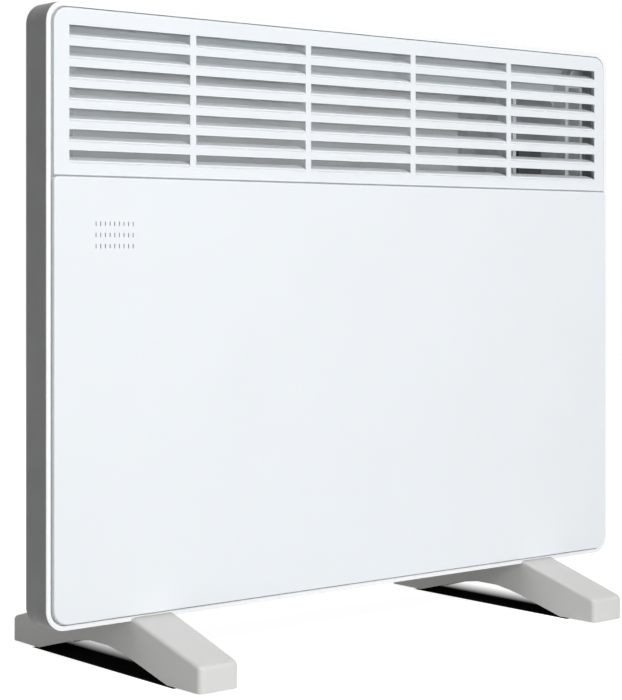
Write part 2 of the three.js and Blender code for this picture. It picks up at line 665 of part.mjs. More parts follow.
// Half width and height of the foot's top at a distance from its middle.
function footSection(distance) {
  const slope = TIP_Y - TOE_ROUND;
  if (distance <= CREST_Y) return { half: FOOT_WIDTH / 2, top: CREST_Z };
  const t = Math.min((distance - CREST_Y) / (TIP_Y - CREST_Y), 1);
  const half = THREE.MathUtils.lerp(FOOT_WIDTH / 2, TOE_WIDTH / 2, t);
  const top = THREE.MathUtils.lerp(CREST_Z, TOE_HEIGHT, t);
  if (distance <= slope) return { half, top };
  const lost = TOE_ROUND - Math.sqrt(Math.max(TOE_ROUND ** 2 - (distance - slope) ** 2, 0));
  return { half: half - lost, top: top - lost };
}

// Rings across the foot with rounded upper edges; shrink draws its walls in for the hollow.
function footRings(shrink, bottom, reach) {
  const inside = shrink > 0;
  const round = [0, 0.5, 0.85, 1].map((share) => TIP_Y - TOE_ROUND + share * TOE_ROUND);
  const side = inside ? [CREST_Y, reach] : [CREST_Y, ...round];
  const stations = [...side.slice().reverse().map((y) => -y), ...side];
  const edge = Math.max(FOOT_EDGE_RADIUS - shrink, 0.5);
  const steps = inside ? 1 : 2;
  return stations.map((y) => {
    const { half, top } = footSection(Math.abs(y));
    const w = half - shrink;
    const h = top - shrink;
    const right = Array.from({ length: steps + 1 }, (_, i) => {
      const angle = (i / steps) * RIGHT_ANGLE;
      return [w - edge * (1 - Math.cos(angle)), h - edge * (1 - Math.sin(angle))];
    });
    const left = right.map(([x, z]) => [-x, z]).reverse();
    return [[-w, bottom], [w, bottom], ...right, ...left].map(([x, z]) => [x, y, z]);
  });
}

function footArch(from, to) {
  const shape = new THREE.Shape();
  const low = FOOT_BASE;
  const { flat, height, reach, blend, shoulder, drop } = ARCH;
  shape.moveTo(-reach - 2 * PAST, -PAST);
  shape.lineTo(reach + 2 * PAST, -PAST);
  shape.lineTo(reach, low);
  shape.lineTo(flat + shoulder, height - drop);
  shape.quadraticCurveTo(flat + blend, height, flat - blend, height);
  shape.lineTo(-flat + blend, height);
  shape.quadraticCurveTo(-flat - blend, height, -flat - shoulder, height - drop);
  shape.lineTo(-reach, low);
  return prismX(shape, from, to, 4);
}

// A moulding open from below, with cross ribs, screw bosses and room for a pad in each toe.
function foot() {
  const outside = skin(footRings(0, FOOT_BASE, TIP_Y));
  const hollow = skin(footRings(FOOT_WALL, FOOT_BASE - 2, TIP_Y - FOOT_WALL));
  const ribs = [-FOOT_RIB_Y, FOOT_RIB_Y].map((y) => block(
    -FOOT_WIDTH, FOOT_WIDTH, y - RIB / 2, y + RIB / 2, FOOT_BASE + 1, CREST_Z,
  ));
  const padTop = FOOT_BASE + PAD.height;
  const seatY = TIP_Y - PAD.inset - PAD.length / 2;
  const padSeats = [-seatY, seatY].map((y) => block(
    -FOOT_WIDTH, FOOT_WIDTH, y - RIB / 2, y + RIB / 2, padTop, CREST_Z,
  ));
  const bosses = [-FOOT_SCREW_Y, FOOT_SCREW_Y].map((y) => bar(
    FOOT_BOSS.radius, 'z', [0, y, FOOT_BOSS.bottom],
    FOOT_TOP_Z - FOOT_WALL / 2 - FOOT_BOSS.bottom, FINE_SIDES,
  ));
  const inner = [...ribs, ...padSeats].map((rib) => rib.intersect(outside));
  const seat = CASING_DEPTH / 2 + FIT_GAP;
  const saddle = block(-FOOT_WIDTH, FOOT_WIDTH, -seat, seat, FOOT_TOP_Z, CREST_Z + PAST);
  const saddleFloor = block(
    -FOOT_WIDTH, FOOT_WIDTH, -CREST_Y, CREST_Y, FOOT_TOP_Z - FOOT_WALL, FOOT_TOP_Z,
  ).intersect(outside);
  const holes = [-FOOT_SCREW_Y, FOOT_SCREW_Y].map((y) => bar(
    FOOT_SCREW.shank + FIT_GAP, 'z', [0, y, FOOT_BOSS.bottom - PAST],
    FOOT_TOP_Z - FOOT_BOSS.bottom + 2 * PAST, SCREW_SIDES,
  ));
  const shell = cut(outside, hollow);
  return cut(join(shell, saddleFloor, inner, bosses), saddle, footArch(-FOOT_WIDTH, FOOT_WIDTH), holes);
}

// The rubber pad fills the open toe up to its seat, and reaches the floor.
function footPad(end) {
  const inner = TIP_Y - FOOT_WALL - FIT_GAP;
  const start = inner - PAD.length;
  const half = TOE_WIDTH / 2 - FOOT_WALL - PAD.sideGap;
  const shape = rounded(-half, end > 0 ? start : -inner, half, end > 0 ? inner : -start, PAD.corner);
  return prismZ(shape, 0, FOOT_BASE + PAD.height - FIT_GAP, 3);
}

// ---------------------------------------------------------------- heating element

// Outline of the X-shaped profile in Y and Z: four arms, each with cross ribs that get longer outwards.
function elementOutline() {
  const points = [];
  const { arm, armThickness, hub } = ELEMENT;
  const half = armThickness / 2;
  const ribs = Array.from({ length: ELEMENT_RIB.count }, (_, i) => ({
    from: ELEMENT_RIB.first + i * ELEMENT_RIB.pitch,
    reach: ELEMENT_RIB.reach + i * ELEMENT_RIB.growth,
  }));
  for (let quarter = 0; quarter < 4; quarter += 1) {
    const angle = (quarter + 0.5) * RIGHT_ANGLE;
    const place = (along, across) => [
      ELEMENT_Y + along * Math.cos(angle) - across * Math.sin(angle),
      ELEMENT_Z + along * Math.sin(angle) + across * Math.cos(angle),
    ];
    const lower = ribs.flatMap(({ from, reach }) => [
      place(from, -half), place(from, -reach),
      place(from + ELEMENT_RIB.thickness, -reach), place(from + ELEMENT_RIB.thickness, -half),
    ]);
    const upper = ribs.slice().reverse().flatMap(({ from, reach }) => [
      place(from + ELEMENT_RIB.thickness, half), place(from + ELEMENT_RIB.thickness, reach),
      place(from, reach), place(from, half),
    ]);
    const between = place(hub * Math.cos(RIGHT_ANGLE / 2), hub * Math.sin(RIGHT_ANGLE / 2));
    points.push(place(hub, -half), ...lower, place(arm, -half), place(arm, half), ...upper);
    points.push(place(hub, half), between);
  }
  return points;
}

const ELEMENT_LEFT = END_BRACKET_X + BUSH.length / 2 + ELEMENT.endGap;
const ELEMENT_RIGHT = PARTITION_X - BUSH.length / 2 - ELEMENT.endGap;

function elementProfile() {
  const shape = shapeOf(elementOutline());
  const body = prismX(shape, ELEMENT_LEFT, ELEMENT_RIGHT);
  const bore = bar(
    ROD_RADIUS + FIT_GAP, 'x', [ELEMENT_LEFT - PAST, ELEMENT_Y, ELEMENT_Z],
    ELEMENT_RIGHT - ELEMENT_LEFT + 2 * PAST, FINE_SIDES,
  );
  return cut(body, bore);
}

const ROD_LEFT = END_BRACKET_X - BUSH.length / 2 - ROD_OVERHANG;
const ROD_RIGHT = PARTITION_X + BUSH.length / 2 + ROD_OVERHANG;

function elementRod() {
  const length = ROD_RIGHT - ROD_LEFT;
  const neck = ROD_RADIUS - ROD_CAP.taper;
  const profile = [
    [0, -TERMINAL.length], [TERMINAL.radius, -TERMINAL.length], [TERMINAL.radius, 0],
    [neck, 0], [ROD_RADIUS, ROD_CAP.length], [ROD_RADIUS, length - ROD_CAP.length], [neck, length],
    [TERMINAL.radius, length], [TERMINAL.radius, length + TERMINAL.length], [0, length + TERMINAL.length],
  ];
  return turned(profile, 'x', [ROD_LEFT, ELEMENT_Y, ELEMENT_Z], FINE_SIDES);
}

// A ceramic bush with a waist that sits in the hole of its plate; the plate is SHEET thick.
function elementBush(plateX) {
  const start = plateX - BUSH.length / 2;
  const waist = SHEET / 2 + FIT_GAP;
  const middle = BUSH.length / 2;
  const profile = [
    [0, 0], [BUSH.radius, 0], [BUSH.radius, middle - waist], [BUSH.groove, middle - waist],
    [BUSH.groove, middle + waist], [BUSH.radius, middle + waist], [BUSH.radius, BUSH.length],
    [0, BUSH.length],
  ];
  const body = turned(profile, 'x', [start, ELEMENT_Y, ELEMENT_Z]);
  const bore = bar(
    ROD_RADIUS + FIT_GAP, 'x', [start - PAST, ELEMENT_Y, ELEMENT_Z], BUSH.length + 2 * PAST, FINE_SIDES,
  );
  return cut(body, bore);
}

function bushHole(plateX) {
  return bar(BUSH.groove + FIT_GAP, 'x', [plateX - SHEET, ELEMENT_Y, ELEMENT_Z], 2 * SHEET);
}

const MOUNT_BACK_Y = INNER_BACK_Y - FIT_GAP;

// Channel between the back wall and the heat shield that carries the element's left end.
function elementBracket() {
  const left = END_BRACKET_X - SHEET / 2;
  const right = left + END_BRACKET.flange;
  const top = ELEMENT_Z + END_BRACKET.width / 2;
  const web = block(left, left + SHEET, PARTITION_FRONT_Y, MOUNT_BACK_Y, BOTTOM_Z + END_BRACKET.above, top);
  const flanges = [PARTITION_FRONT_Y, MOUNT_BACK_Y - SHEET].map((y) => block(
    left - END_BRACKET.flange + SHEET, left + SHEET, y, y + SHEET, BOTTOM_Z + END_BRACKET.above, top,
  ));
  return cut(join(web, flanges), bushHole(END_BRACKET_X));
}

// ---------------------------------------------------------------- inner plates

const SHIELD_Y = PARTITION_FRONT_Y - FIT_GAP - SHEET;

// Sheet between the element and the front panel, with edges folded forward.
function heatShield() {
  const { lowerFold, upperFold } = SHIELD;
  const left = SHIELD.inset - COVER_HALF_WIDTH;
  const bottom = BOTTOM_Z + SHIELD.above;
  const top = SHIELD_TOP_Z;
  const y = SHIELD_Y;
  const right = PARTITION_X + PARTITION.flange;
  const face = block(left, right, y, y + SHEET, bottom, top);
  const lower = block(left, right, y - lowerFold, y + SHEET, bottom, bottom + SHEET);
  const upper = block(left, right, y - upperFold, y + SHEET, top - SHEET, top);
  const legs = [left + SHIELD_LEG.inset, right - SHIELD_LEG.inset - SHIELD_LEG.width].map((x) => block(
    x, x + SHIELD_LEG.width, y, y + SHEET, INNER_BOTTOM_Z + FIT_GAP, bottom + SHEET,
  ));
  return join(face, lower, upper, legs);
}

// Wall between the hot side and the control compartment.
function partitionPlate() {
  const x = PARTITION_X;
  const front = PARTITION_FRONT_Y;
  const { flange } = PARTITION;
  const half = SHEET / 2;
  const top = COVER_TOP_Z - REAR_EDGE_RADIUS - FIT_GAP;
  const bottom = BOTTOM_Z + REAR_EDGE_RADIUS + FIT_GAP;
  const web = block(x - half, x + half, front, MOUNT_BACK_Y, bottom, top);
  const frontFlange = block(x - half, x + flange, front, front + SHEET, bottom, top);
  const backFlange = block(
    x - half, x + END_BRACKET.flange, MOUNT_BACK_Y - SHEET, MOUNT_BACK_Y, bottom, top,
  );
  const wirePass = bar(WIRE_PASS.radius, 'x', [x - PAST, WIRE_PASS_Y, WIRE_PASS_Z], 2 * PAST, FINE_SIDES);
  return cut(join(web, frontFlange, backFlange), bushHole(x), wirePass);
}

const CONTROL_X = INNER_WALL_X - FIT_GAP - SHEET;

// Plate inside the cover's right wall that carries the thermostat; its upper end bends to the shell.
function controlBracket() {
  const { tab } = BRACKET;
  const front = FRONT_Y + BRACKET.behind;
  const top = TOP_Z - BRACKET.below;
  const bottom = COVER_TOP_Z - BRACKET.length;
  const back = INNER_BACK_Y - REAR_EDGE_RADIUS;
  const web = block(CONTROL_X, CONTROL_X + SHEET, front, back, bottom, COVER_TOP_Z - REAR_TOP_RADIUS);
  const neck = block(CONTROL_X, CONTROL_X + SHEET, front, SHELL_BACK_Y - SHEET - FIT_GAP, bottom, top);
  const bent = new THREE.Shape([[0, 0], [tab, tab], [tab - SHEET, tab + SHEET * 0.4], [-SHEET * 0.4, 0]]
    .map(([x, z]) => new THREE.Vector2(CONTROL_X + SHEET + x, top - SHEET * 0.5 + z)));
  const bentTab = prismY(bent, front, front + BRACKET.tabWidth);
  return cut(join(web, neck, bentTab), controlHoles(CONTROL_X - PAST, CONTROL_X + SHEET + PAST));
}

// ---------------------------------------------------------------- controls

const PLATE_X = COVER_HALF_WIDTH + FIT_GAP;
const PLATE_OUTER_X = PLATE_X + PLATE.thickness;

function controlPlate() {
  const top = COVER_TOP_Z - PLATE.below;
  const body = prismX(
    rounded(CONTROL_Y - PLATE.halfWidth, top - PLATE.length, CONTROL_Y + PLATE.halfWidth, top, PLATE.radius),
    PLATE_X, PLATE_OUTER_X,
  );
  return cut(body, controlHoles(PLATE_X - PAST, PLATE_OUTER_X + PAST));
}

const THERMOSTAT_RIGHT = CONTROL_X - FIT_GAP;

// Sealed box with a round bush that reaches out through the wall, bored for the shaft.
function thermostatBody() {
  const halfW = THERMOSTAT.width / 2;
  const halfH = THERMOSTAT.height / 2;
  const box = prismX(
    rounded(CONTROL_Y - halfW, KNOB_Z - halfH, CONTROL_Y + halfW, KNOB_Z + halfH, 3),
    THERMOSTAT_RIGHT - THERMOSTAT.length, THERMOSTAT_RIGHT, 2,
  );
  const bush = bar(
    THERMOSTAT.bushRadius, 'x', [THERMOSTAT_RIGHT - PAST, CONTROL_Y, KNOB_Z],
    PLATE_OUTER_X - THERMOSTAT_RIGHT + PAST, FINE_SIDES,
  );
  const bore = bar(
    SHAFT.radius + FIT_GAP, 'x', [THERMOSTAT_RIGHT - SHAFT.depth, CONTROL_Y, KNOB_Z],
    PLATE_OUTER_X - THERMOSTAT_RIGHT + SHAFT.depth + PAST, FINE_SIDES,
  );
  return cut(join(box, bush), bore);
}

const SHAFT_LEFT = THERMOSTAT_RIGHT - SHAFT.depth + FIT_GAP;
const KNOB_BACK_X = PLATE_OUTER_X + FIT_GAP;
const SHAFT_RIGHT = KNOB_BACK_X + SHAFT.reach;

function shaftOutline(radius, flat) {
  return Array.from({ length: 13 }, (_, i) => {
    const start = Math.acos(flat / radius);
    const angle = start + (i / 12) * (TURN - 2 * start);
    return [CONTROL_Y + radius * Math.cos(angle), KNOB_Z + radius * Math.sin(angle)];
  });
}

// The knob and its shaft are drawn pointing up and rest at the low end of their travel.
function turnedToRest(body) {
  return body
    .translate([0, -CONTROL_Y, -KNOB_Z])
    .rotate([KNOB.rest, 0, 0])
    .translate([0, CONTROL_Y, KNOB_Z]);
}

function thermostatShaft() {
  return turnedToRest(prismX(shapeOf(shaftOutline(SHAFT.radius, SHAFT.flat)), SHAFT_LEFT, SHAFT_RIGHT));
}

// Fluted grip over a plain skirt, with a raised pointer along one radius.
function thermostatKnob() {
  const grip = KNOB.radius - KNOB.skirt;
  const steps = 4;
  const outline = Array.from({ length: KNOB.flutes * steps }, (_, i) => {
    const phase = (i % steps) / steps;
    const radius = grip - KNOB.flute * (1 - Math.cos(phase * TURN)) / 2;
    const angle = (i / (KNOB.flutes * steps)) * TURN;
    return [CONTROL_Y + radius * Math.cos(angle), KNOB_Z + radius * Math.sin(angle)];
  });
  const drawnIn = (share) => outline.map(([y, z]) => [
    CONTROL_Y + (y - CONTROL_Y) * share, KNOB_Z + (z - KNOB_Z) * share,
  ]);
  const at = (x, points) => points.map(([y, z]) => [x, y, z]);
  const end = KNOB_BACK_X + KNOB.height;
  const body = skin([
    at(KNOB_BACK_X + PAST, outline), at(end - KNOB.crown, drawnIn(0.97)), at(end, drawnIn(0.89)),
  ]);
  const skirt = turned(
    [
      [0, 0], [KNOB.radius, 0], [KNOB.radius, KNOB.skirtHeight / 2],
      [grip - KNOB.flute, KNOB.skirtHeight], [0, KNOB.skirtHeight],
    ],
    'x', [KNOB_BACK_X, CONTROL_Y, KNOB_Z], KNOB_SIDES,
  );
  const pointer = block(
    end - PAST, end + POINTER.height, CONTROL_Y - POINTER.width / 2, CONTROL_Y + POINTER.width / 2,
    KNOB_Z + POINTER.from, KNOB_Z + POINTER.to,
  );
  const boreOutline = shaftOutline(SHAFT.radius + FIT_GAP, SHAFT.flat + FIT_GAP);
  const bore = prismX(shapeOf(boreOutline), KNOB_BACK_X - PAST, SHAFT_RIGHT + FIT_GAP);
  return turnedToRest(cut(join(body, skirt, pointer), bore));
}

const SWITCH_FACE_X = PLATE_OUTER_X + FIT_GAP + SWITCH.rim;
const KEY_PIVOT_X = SWITCH_FACE_X - KEY.pivotDepth;

// Snap-in body: a flange over the plate and a well in which the key rocks.
function switchBody() {
  const { halfHeight, halfWidth, depth, flange } = SWITCH;
  const y = CONTROL_Y;
  const z = SWITCH_Z;
  const body = block(
    PLATE_OUTER_X - depth, PLATE_OUTER_X + FIT_GAP + SWITCH.rim / 2,
    y - halfWidth, y + halfWidth, z - halfHeight, z + halfHeight,
  );
  const rimY = halfWidth + flange;
  const rimZ = halfHeight + flange;
  const rim = prismX(
    rounded(y - rimY, z - rimZ, y + rimY, z + rimZ, flange / 2), PLATE_OUTER_X + FIT_GAP, SWITCH_FACE_X, 3,
  );
  const well = block(
    KEY_PIVOT_X - KEY.radius, SWITCH_FACE_X + PAST, y - KEY.halfWidth - FIT_GAP, y + KEY.halfWidth + FIT_GAP,
    z - KEY.radius - FIT_GAP, z + KEY.radius + FIT_GAP,
  );
  return cut(join(body, rim), well);
}

// The key turns about Y; it is drawn level and then set to its off position.
function switchKey() {
  const faceX = KEY.pivotDepth + KEY.proud;
  const edge = Math.asin(faceX / KEY.radius);
  const steps = 4;
  const tail = THREE.MathUtils.degToRad(KEY.tail);
  const upper = Array.from({ length: steps + 1 }, (_, i) => {
    const angle = edge - (i / steps) * (edge + tail);
    return [KEY.radius * Math.sin(angle), KEY.radius * Math.cos(angle)];
  });
  const lower = upper.map(([x, z]) => [x, -z]).reverse();
  const tilt = THREE.MathUtils.degToRad(KEY.tilt);
  const outline = [[faceX - KEY.dip, 0], ...upper, ...lower].map(([x, z]) => [
    KEY_PIVOT_X + x * Math.cos(tilt) + z * Math.sin(tilt),
    SWITCH_Z - x * Math.sin(tilt) + z * Math.cos(tilt),
  ]);
  return prismY(shapeOf(outline), CONTROL_Y - KEY.halfWidth, CONTROL_Y + KEY.halfWidth);
}

// ---------------------------------------------------------------- room sensor

const SENSOR_Y = FRONT_Y + SENSOR.behind;
const SENSOR_Z = VENT_Z;
const SENSOR_LEFT = VENT_X - SENSOR.length / 2;
const SENSOR_RIGHT = VENT_X + SENSOR.length / 2;

function sensorBulb() {
  const tip = SENSOR.radius * 0.6;
  const profile = [
    [0, 0], [SENSOR.radius - tip, 0], [SENSOR.radius, tip], [SENSOR.radius, SENSOR.length - tip],
    [SENSOR.radius - tip, SENSOR.length], [0, SENSOR.length],
  ];
  return turned(profile, 'x', [SENSOR_LEFT, SENSOR_Y, SENSOR_Z], FINE_SIDES);
}

// A ring round the bulb on a stem from the heat shield.
function sensorClip() {
  const { radius, clipAt, clipWidth, clipWall } = SENSOR;
  const y = SENSOR_Y;
  const left = SENSOR_LEFT + clipAt;
  const right = left + clipWidth;
  const back = SHIELD_Y - FIT_GAP;
  const bore = radius + FIT_GAP;
  const collar = cut(
    bar(bore + clipWall, 'x', [left, y, SENSOR_Z], clipWidth, FINE_SIDES),
    bar(bore, 'x', [left - PAST, y, SENSOR_Z], clipWidth + 2 * PAST, FINE_SIDES),
  );
  const half = clipWidth / 3;
  const stem = block(left, right, y + bore + clipWall / 3, back, SENSOR_Z - half, SENSOR_Z + half);
  const flange = block(left, right, back - SHEET, back, SENSOR_Z - 4 * half, SENSOR_Z + half);
  return join(collar, stem, flange);
}

// ---------------------------------------------------------------- tubes and wires

function tube(points, radius, sides, steps) {
  const path = new THREE.CatmullRomCurve3(
    points.map(([x, y, z]) => new THREE.Vector3(x, y, z)), false, 'centripetal',
  );
  const section = shapeOf(Array.from({ length: sides }, (_, i) => [
    radius * Math.cos((i / sides) * TURN), radius * Math.sin((i / sides) * TURN),
  ]));
  return solid(new THREE.ExtrudeGeometry(section, { steps, bevelEnabled: false, extrudePath: path }));
}

function sensorCapillary() {
  const lift = SHIELD_TOP_Z + 6;
  const lane = SHIELD_Y - 3;
  const end = THERMOSTAT_RIGHT - THERMOSTAT.length / 2;
  return tube([
    [SENSOR_RIGHT + FIT_GAP, SENSOR_Y, SENSOR_Z],
    [SENSOR_RIGHT + 10, SENSOR_Y, SENSOR_Z],
    [SENSOR_RIGHT + 30, lane, lift - 4],
    [SENSOR_RIGHT + 56, lane, lift],
    [0, lane, lift],
    [PARTITION_X - 20, lane, lift],
    [PARTITION_X + 12, lane, lift],
    [end - 14, lane + 12, lift - 4],
    [end, CONTROL_Y - 6, lift - 2],
    [end, CONTROL_Y, lift + 4],
    [end, CONTROL_Y, KNOB_Z - THERMOSTAT.height / 2 - FIT_GAP],
  ], CAPILLARY_RADIUS, WIRE_SIDES, 32);
}

const BLOCK_BACK_Y = MOUNT_BACK_Y;
const BLOCK_FRONT_Y = BLOCK_BACK_Y - TERMINAL_BLOCK.depth;

function terminalX(way) {
  const pitch = TERMINAL_BLOCK.length / TERMINAL_BLOCK.ways;
  return BLOCK_X + (way - (TERMINAL_BLOCK.ways - 1) / 2) * pitch;
}

// Connector strip with one screw well and one wire entry a way.
function terminalBlock() {
  const { length, height, ways, well, wellDepth, notch, notchDepth } = TERMINAL_BLOCK;
  const x = BLOCK_X;
  const z = BLOCK_Z;
  const body = block(
    x - length / 2, x + length / 2, BLOCK_FRONT_Y, BLOCK_BACK_Y, z - height / 2, z + height / 2,
  );
  const wells = Array.from({ length: ways }, (_, way) => bar(
    well, 'y', [terminalX(way), BLOCK_FRONT_Y - PAST, z], wellDepth + PAST, SCREW_SIDES,
  ));
  const notches = Array.from({ length: ways - 1 }, (_, i) => {
    const middle = (terminalX(i) + terminalX(i + 1)) / 2;
    return block(
      middle - notch / 2, middle + notch / 2, BLOCK_FRONT_Y - PAST, BLOCK_FRONT_Y + notchDepth,
      z - height, z + height,
    );
  });
  return cut(body, wells, notches);
}

const BLOCK_TOP_Z = BLOCK_Z + TERMINAL_BLOCK.height / 2;
const BLOCK_MIDDLE_Y = BLOCK_BACK_Y - TERMINAL_BLOCK.depth * 0.35;

function wireBlockToSwitch() {
  const x = terminalX(2);
  const end = PLATE_OUTER_X - SWITCH.depth - FIT_GAP;
  return tube([
    [x, BLOCK_MIDDLE_Y, BLOCK_TOP_Z + FIT_GAP], [x, BLOCK_MIDDLE_Y, BLOCK_TOP_Z + 30],
    [x - 4, BLOCK_MIDDLE_Y - 2, SWITCH_Z - 60], [x - 12, CONTROL_Y + 8, SWITCH_Z - 24],
    [end - 14, CONTROL_Y, SWITCH_Z - 4], [end - 6, CONTROL_Y, SWITCH_Z - 4], [end, CONTROL_Y, SWITCH_Z - 4],
  ], WIRE_RADIUS, WIRE_SIDES, 16);
}

function wireSwitchToThermostat() {
  const from = PLATE_OUTER_X - SWITCH.depth - FIT_GAP;
  const x = THERMOSTAT_RIGHT - THERMOSTAT.length + 6;
  return tube([
    [from, CONTROL_Y - 4, SWITCH_Z + 5], [from - 5, CONTROL_Y - 4, SWITCH_Z + 5],
    [x, CONTROL_Y - 5, SWITCH_Z + 12], [x, CONTROL_Y - 5, KNOB_Z - THERMOSTAT.height / 2 - 6],
    [x, CONTROL_Y - 5, KNOB_Z - THERMOSTAT.height / 2 - FIT_GAP],
  ], WIRE_RADIUS, WIRE_SIDES, 12);
}

const CUTOUT_FRONT_Y = SHIELD_Y + SHEET + FIT_GAP;

// Round bimetal switch on a small plate with two fixing ears, and two blades at its back.
function thermalCutout() {
  const { x, radius, depth, ear, earHalf, bladeX, bladeHalf, blade } = CUTOUT;
  const z = CUTOUT_Z;
  const plate = prismY(
    rounded(x - radius - ear, z - earHalf, x + radius + ear, z + earHalf, earHalf * 0.75),
    CUTOUT_FRONT_Y, CUTOUT_FRONT_Y + SHEET, 2,
  );
  const can = bar(radius, 'y', [x, CUTOUT_FRONT_Y, z], depth);
  const blades = [x - bladeX, x + bladeX].map((middle) => block(
    middle - bladeHalf, middle + bladeHalf, CUTOUT_FRONT_Y + depth - PAST, CUTOUT_FRONT_Y + depth + blade,
    z - SHEET / 2, z + SHEET / 2,
  ));
  return join(plate, can, blades);
}

const CUTOUT_END_Y = CUTOUT_FRONT_Y + CUTOUT.depth + CUTOUT.blade + FIT_GAP;

function wireThermostatToCutout() {
  const z = KNOB_Z - THERMOSTAT.height / 2 - FIT_GAP;
  const x = THERMOSTAT_RIGHT - THERMOSTAT.length + 6;
  const y = CONTROL_Y - 10;
  return tube([
    [x, y - 3, z], [x, y - 3, z - 12], [x - 6, y - 4, WIRE_PASS_Z + 14],
    [PARTITION_X + 12, WIRE_PASS_Y, WIRE_PASS_Z], [PARTITION_X, WIRE_PASS_Y, WIRE_PASS_Z],
    [PARTITION_X - 16, WIRE_PASS_Y - 2, WIRE_PASS_Z - 4], [CUTOUT.x + 60, CUTOUT_END_Y + 2, CUTOUT_Z + 14],
    [CUTOUT.x + 12, CUTOUT_END_Y + 8, CUTOUT_Z + 4], [CUTOUT.x + CUTOUT.bladeX, CUTOUT_END_Y + 6, CUTOUT_Z],
    [CUTOUT.x + CUTOUT.bladeX, CUTOUT_END_Y, CUTOUT_Z],
  ], WIRE_RADIUS, WIRE_SIDES, 26);
}

function wireCutoutToElement() {
  const end = ROD_LEFT - TERMINAL.length - FIT_GAP;
  return tube([
    [CUTOUT.x - CUTOUT.bladeX, CUTOUT_END_Y, CUTOUT_Z],
    [CUTOUT.x - CUTOUT.bladeX, CUTOUT_END_Y + 6, CUTOUT_Z],
    [CUTOUT.x - 14, CUTOUT_END_Y + 8, CUTOUT_Z + 3], [CUTOUT.x - 60, CUTOUT_END_Y + 2, CUTOUT_Z + 4],
    [ELEMENT_LEFT + 10, -10, CUTOUT_Z - 20], [ELEMENT_LEFT - 14, -8, ELEMENT_Z + 48],
    [end + 2, ELEMENT_Y - 7, ELEMENT_Z + 22], [end - 2.6, ELEMENT_Y - 2, ELEMENT_Z + 5],
    [end - 2, ELEMENT_Y, ELEMENT_Z], [end, ELEMENT_Y, ELEMENT_Z],
  ], WIRE_RADIUS, WIRE_SIDES, 26);
}

function wireElementToBlock() {
  const from = ROD_RIGHT + TERMINAL.length + FIT_GAP;
  const x = terminalX(0);
  return tube([
    [from, ELEMENT_Y, ELEMENT_Z], [from + 5, ELEMENT_Y, ELEMENT_Z], [from + 7, ELEMENT_Y + 6, ELEMENT_Z + 8],
    [x + 4, BLOCK_MIDDLE_Y - 4, BLOCK_TOP_Z + 24], [x, BLOCK_MIDDLE_Y, BLOCK_TOP_Z + 12],
    [x, BLOCK_MIDDLE_Y, BLOCK_TOP_Z + FIT_GAP],
  ], WIRE_RADIUS, WIRE_SIDES, 14);
}

// ---------------------------------------------------------------- cable gland

const GLAND_OUTER_X = COVER_HALF_WIDTH + FIT_GAP;

function cableGland() {
  const { bore, radius, head, brim, headDepth, taper, reach } = GLAND;
  const y = CONTROL_Y;
  const z = GLAND_Z;
  const inner = CONTROL_X - reach;
  const total = GLAND_OUTER_X + headDepth - inner;
  const flangeAt = GLAND_OUTER_X - inner;
  const profile = [
    [0, 0], [radius, 0], [radius, flangeAt], [head, flangeAt], [head, flangeAt + brim],
    [head - taper, total], [0, total],
  ];
  const body = turned(profile, 'x', [inner, y, z]);
  return cut(body, bar(bore, 'x', [inner - PAST, y, z], total + 2 * PAST, FINE_SIDES));
}

function glandNut() {
  const { radius } = GLAND;
  const y = CONTROL_Y;
  const z = GLAND_Z;
  const { across, length } = GLAND_NUT;
  const outline = Array.from({ length: 6 }, (_, i) => [
    y + across * Math.cos((i / 6) * TURN), z + across * Math.sin((i / 6) * TURN),
  ]);
  const right = INNER_WALL_X - FIT_GAP;
  return cut(
    prismX(shapeOf(outline), right - length, right),
    bar(radius + FIT_GAP, 'x', [right - length - PAST, y, z], length + 2 * PAST),
  );
}

// ---------------------------------------------------------------- fasteners

// A plain shank and a domed head along +axis; a direction of -1 puts the head at the start.
function screwAlong(size, axis, direction, start) {
  const { shank, head, length } = size;
  const top = length + size.headHeight;
  const profile = [
    [0, 0], [shank, 0], [shank, length], [head, length], [head * SCREW_CROWN, top], [0, top],
  ];
  const ends = direction > 0 ? profile : profile.map(([radius, along]) => [radius, length - along]);
  return turned(ends, axis, start, SCREW_SIDES);
}

// Heads in front of the groove floor, tips behind the shell's tabs.
function frameScrew([x, z]) {
  const under = FLOOR_Y - FIT_GAP;
  return screwAlong(SCREW, 'y', -1, [x, under, z]);
}

// Heads behind the rear cover's flange, tips inside the shell.
function coverScrew([x, z]) {
  const under = COVER_FRONT_Y + SHEET + FIT_GAP;
  return screwAlong(SCREW, 'y', 1, [x, under - SCREW.length, z]);
}

// Heads under the foot's bosses, tips inside the rear cover.
function footScrew([x, y]) {
  const under = FOOT_BOSS.bottom - FIT_GAP;
  return screwAlong(FOOT_SCREW, 'z', -1, [x, y, under]);
}

// Its head stands off the back wall by the earth wire's tag.
function earthScrew() {
  const start = [
    BLOCK_X, MOUNT_BACK_Y - EARTH.length, BLOCK_Z - TERMINAL_BLOCK.height / 2 - EARTH.below,
  ];
  return screwAlong({ ...SCREW, length: EARTH.length }, 'y', -1, start);
}

// ---------------------------------------------------------------- assembly

const heater = new THREE.Group();

function place(name, body, look) {
  heater.add(meshOf(name, body, look));
}

place('front_frame', frontFrame(), WHITE_LIP);
place('outlet_grille', outletGrille(), WHITE_ENAMEL);
place('front_panel', frontPanel(), WHITE_ENAMEL);
place('casing_shell', casingShell(), GREY_ENAMEL);
place('rear_cover', rearCover(), GREY_ENAMEL);
place('heat_shield', heatShield(), ZINC);
place('partition_plate', partitionPlate(), ZINC);
place('control_bracket', controlBracket(), ZINC);

place('heating_element', elementProfile(), ALUMINIUM);
place('element_rod', elementRod(), STEEL);
place('element_bush_left', elementBush(END_BRACKET_X), CERAMIC);
place('element_bush_right', elementBush(PARTITION_X), CERAMIC);
place('element_bracket', elementBracket(), ZINC);

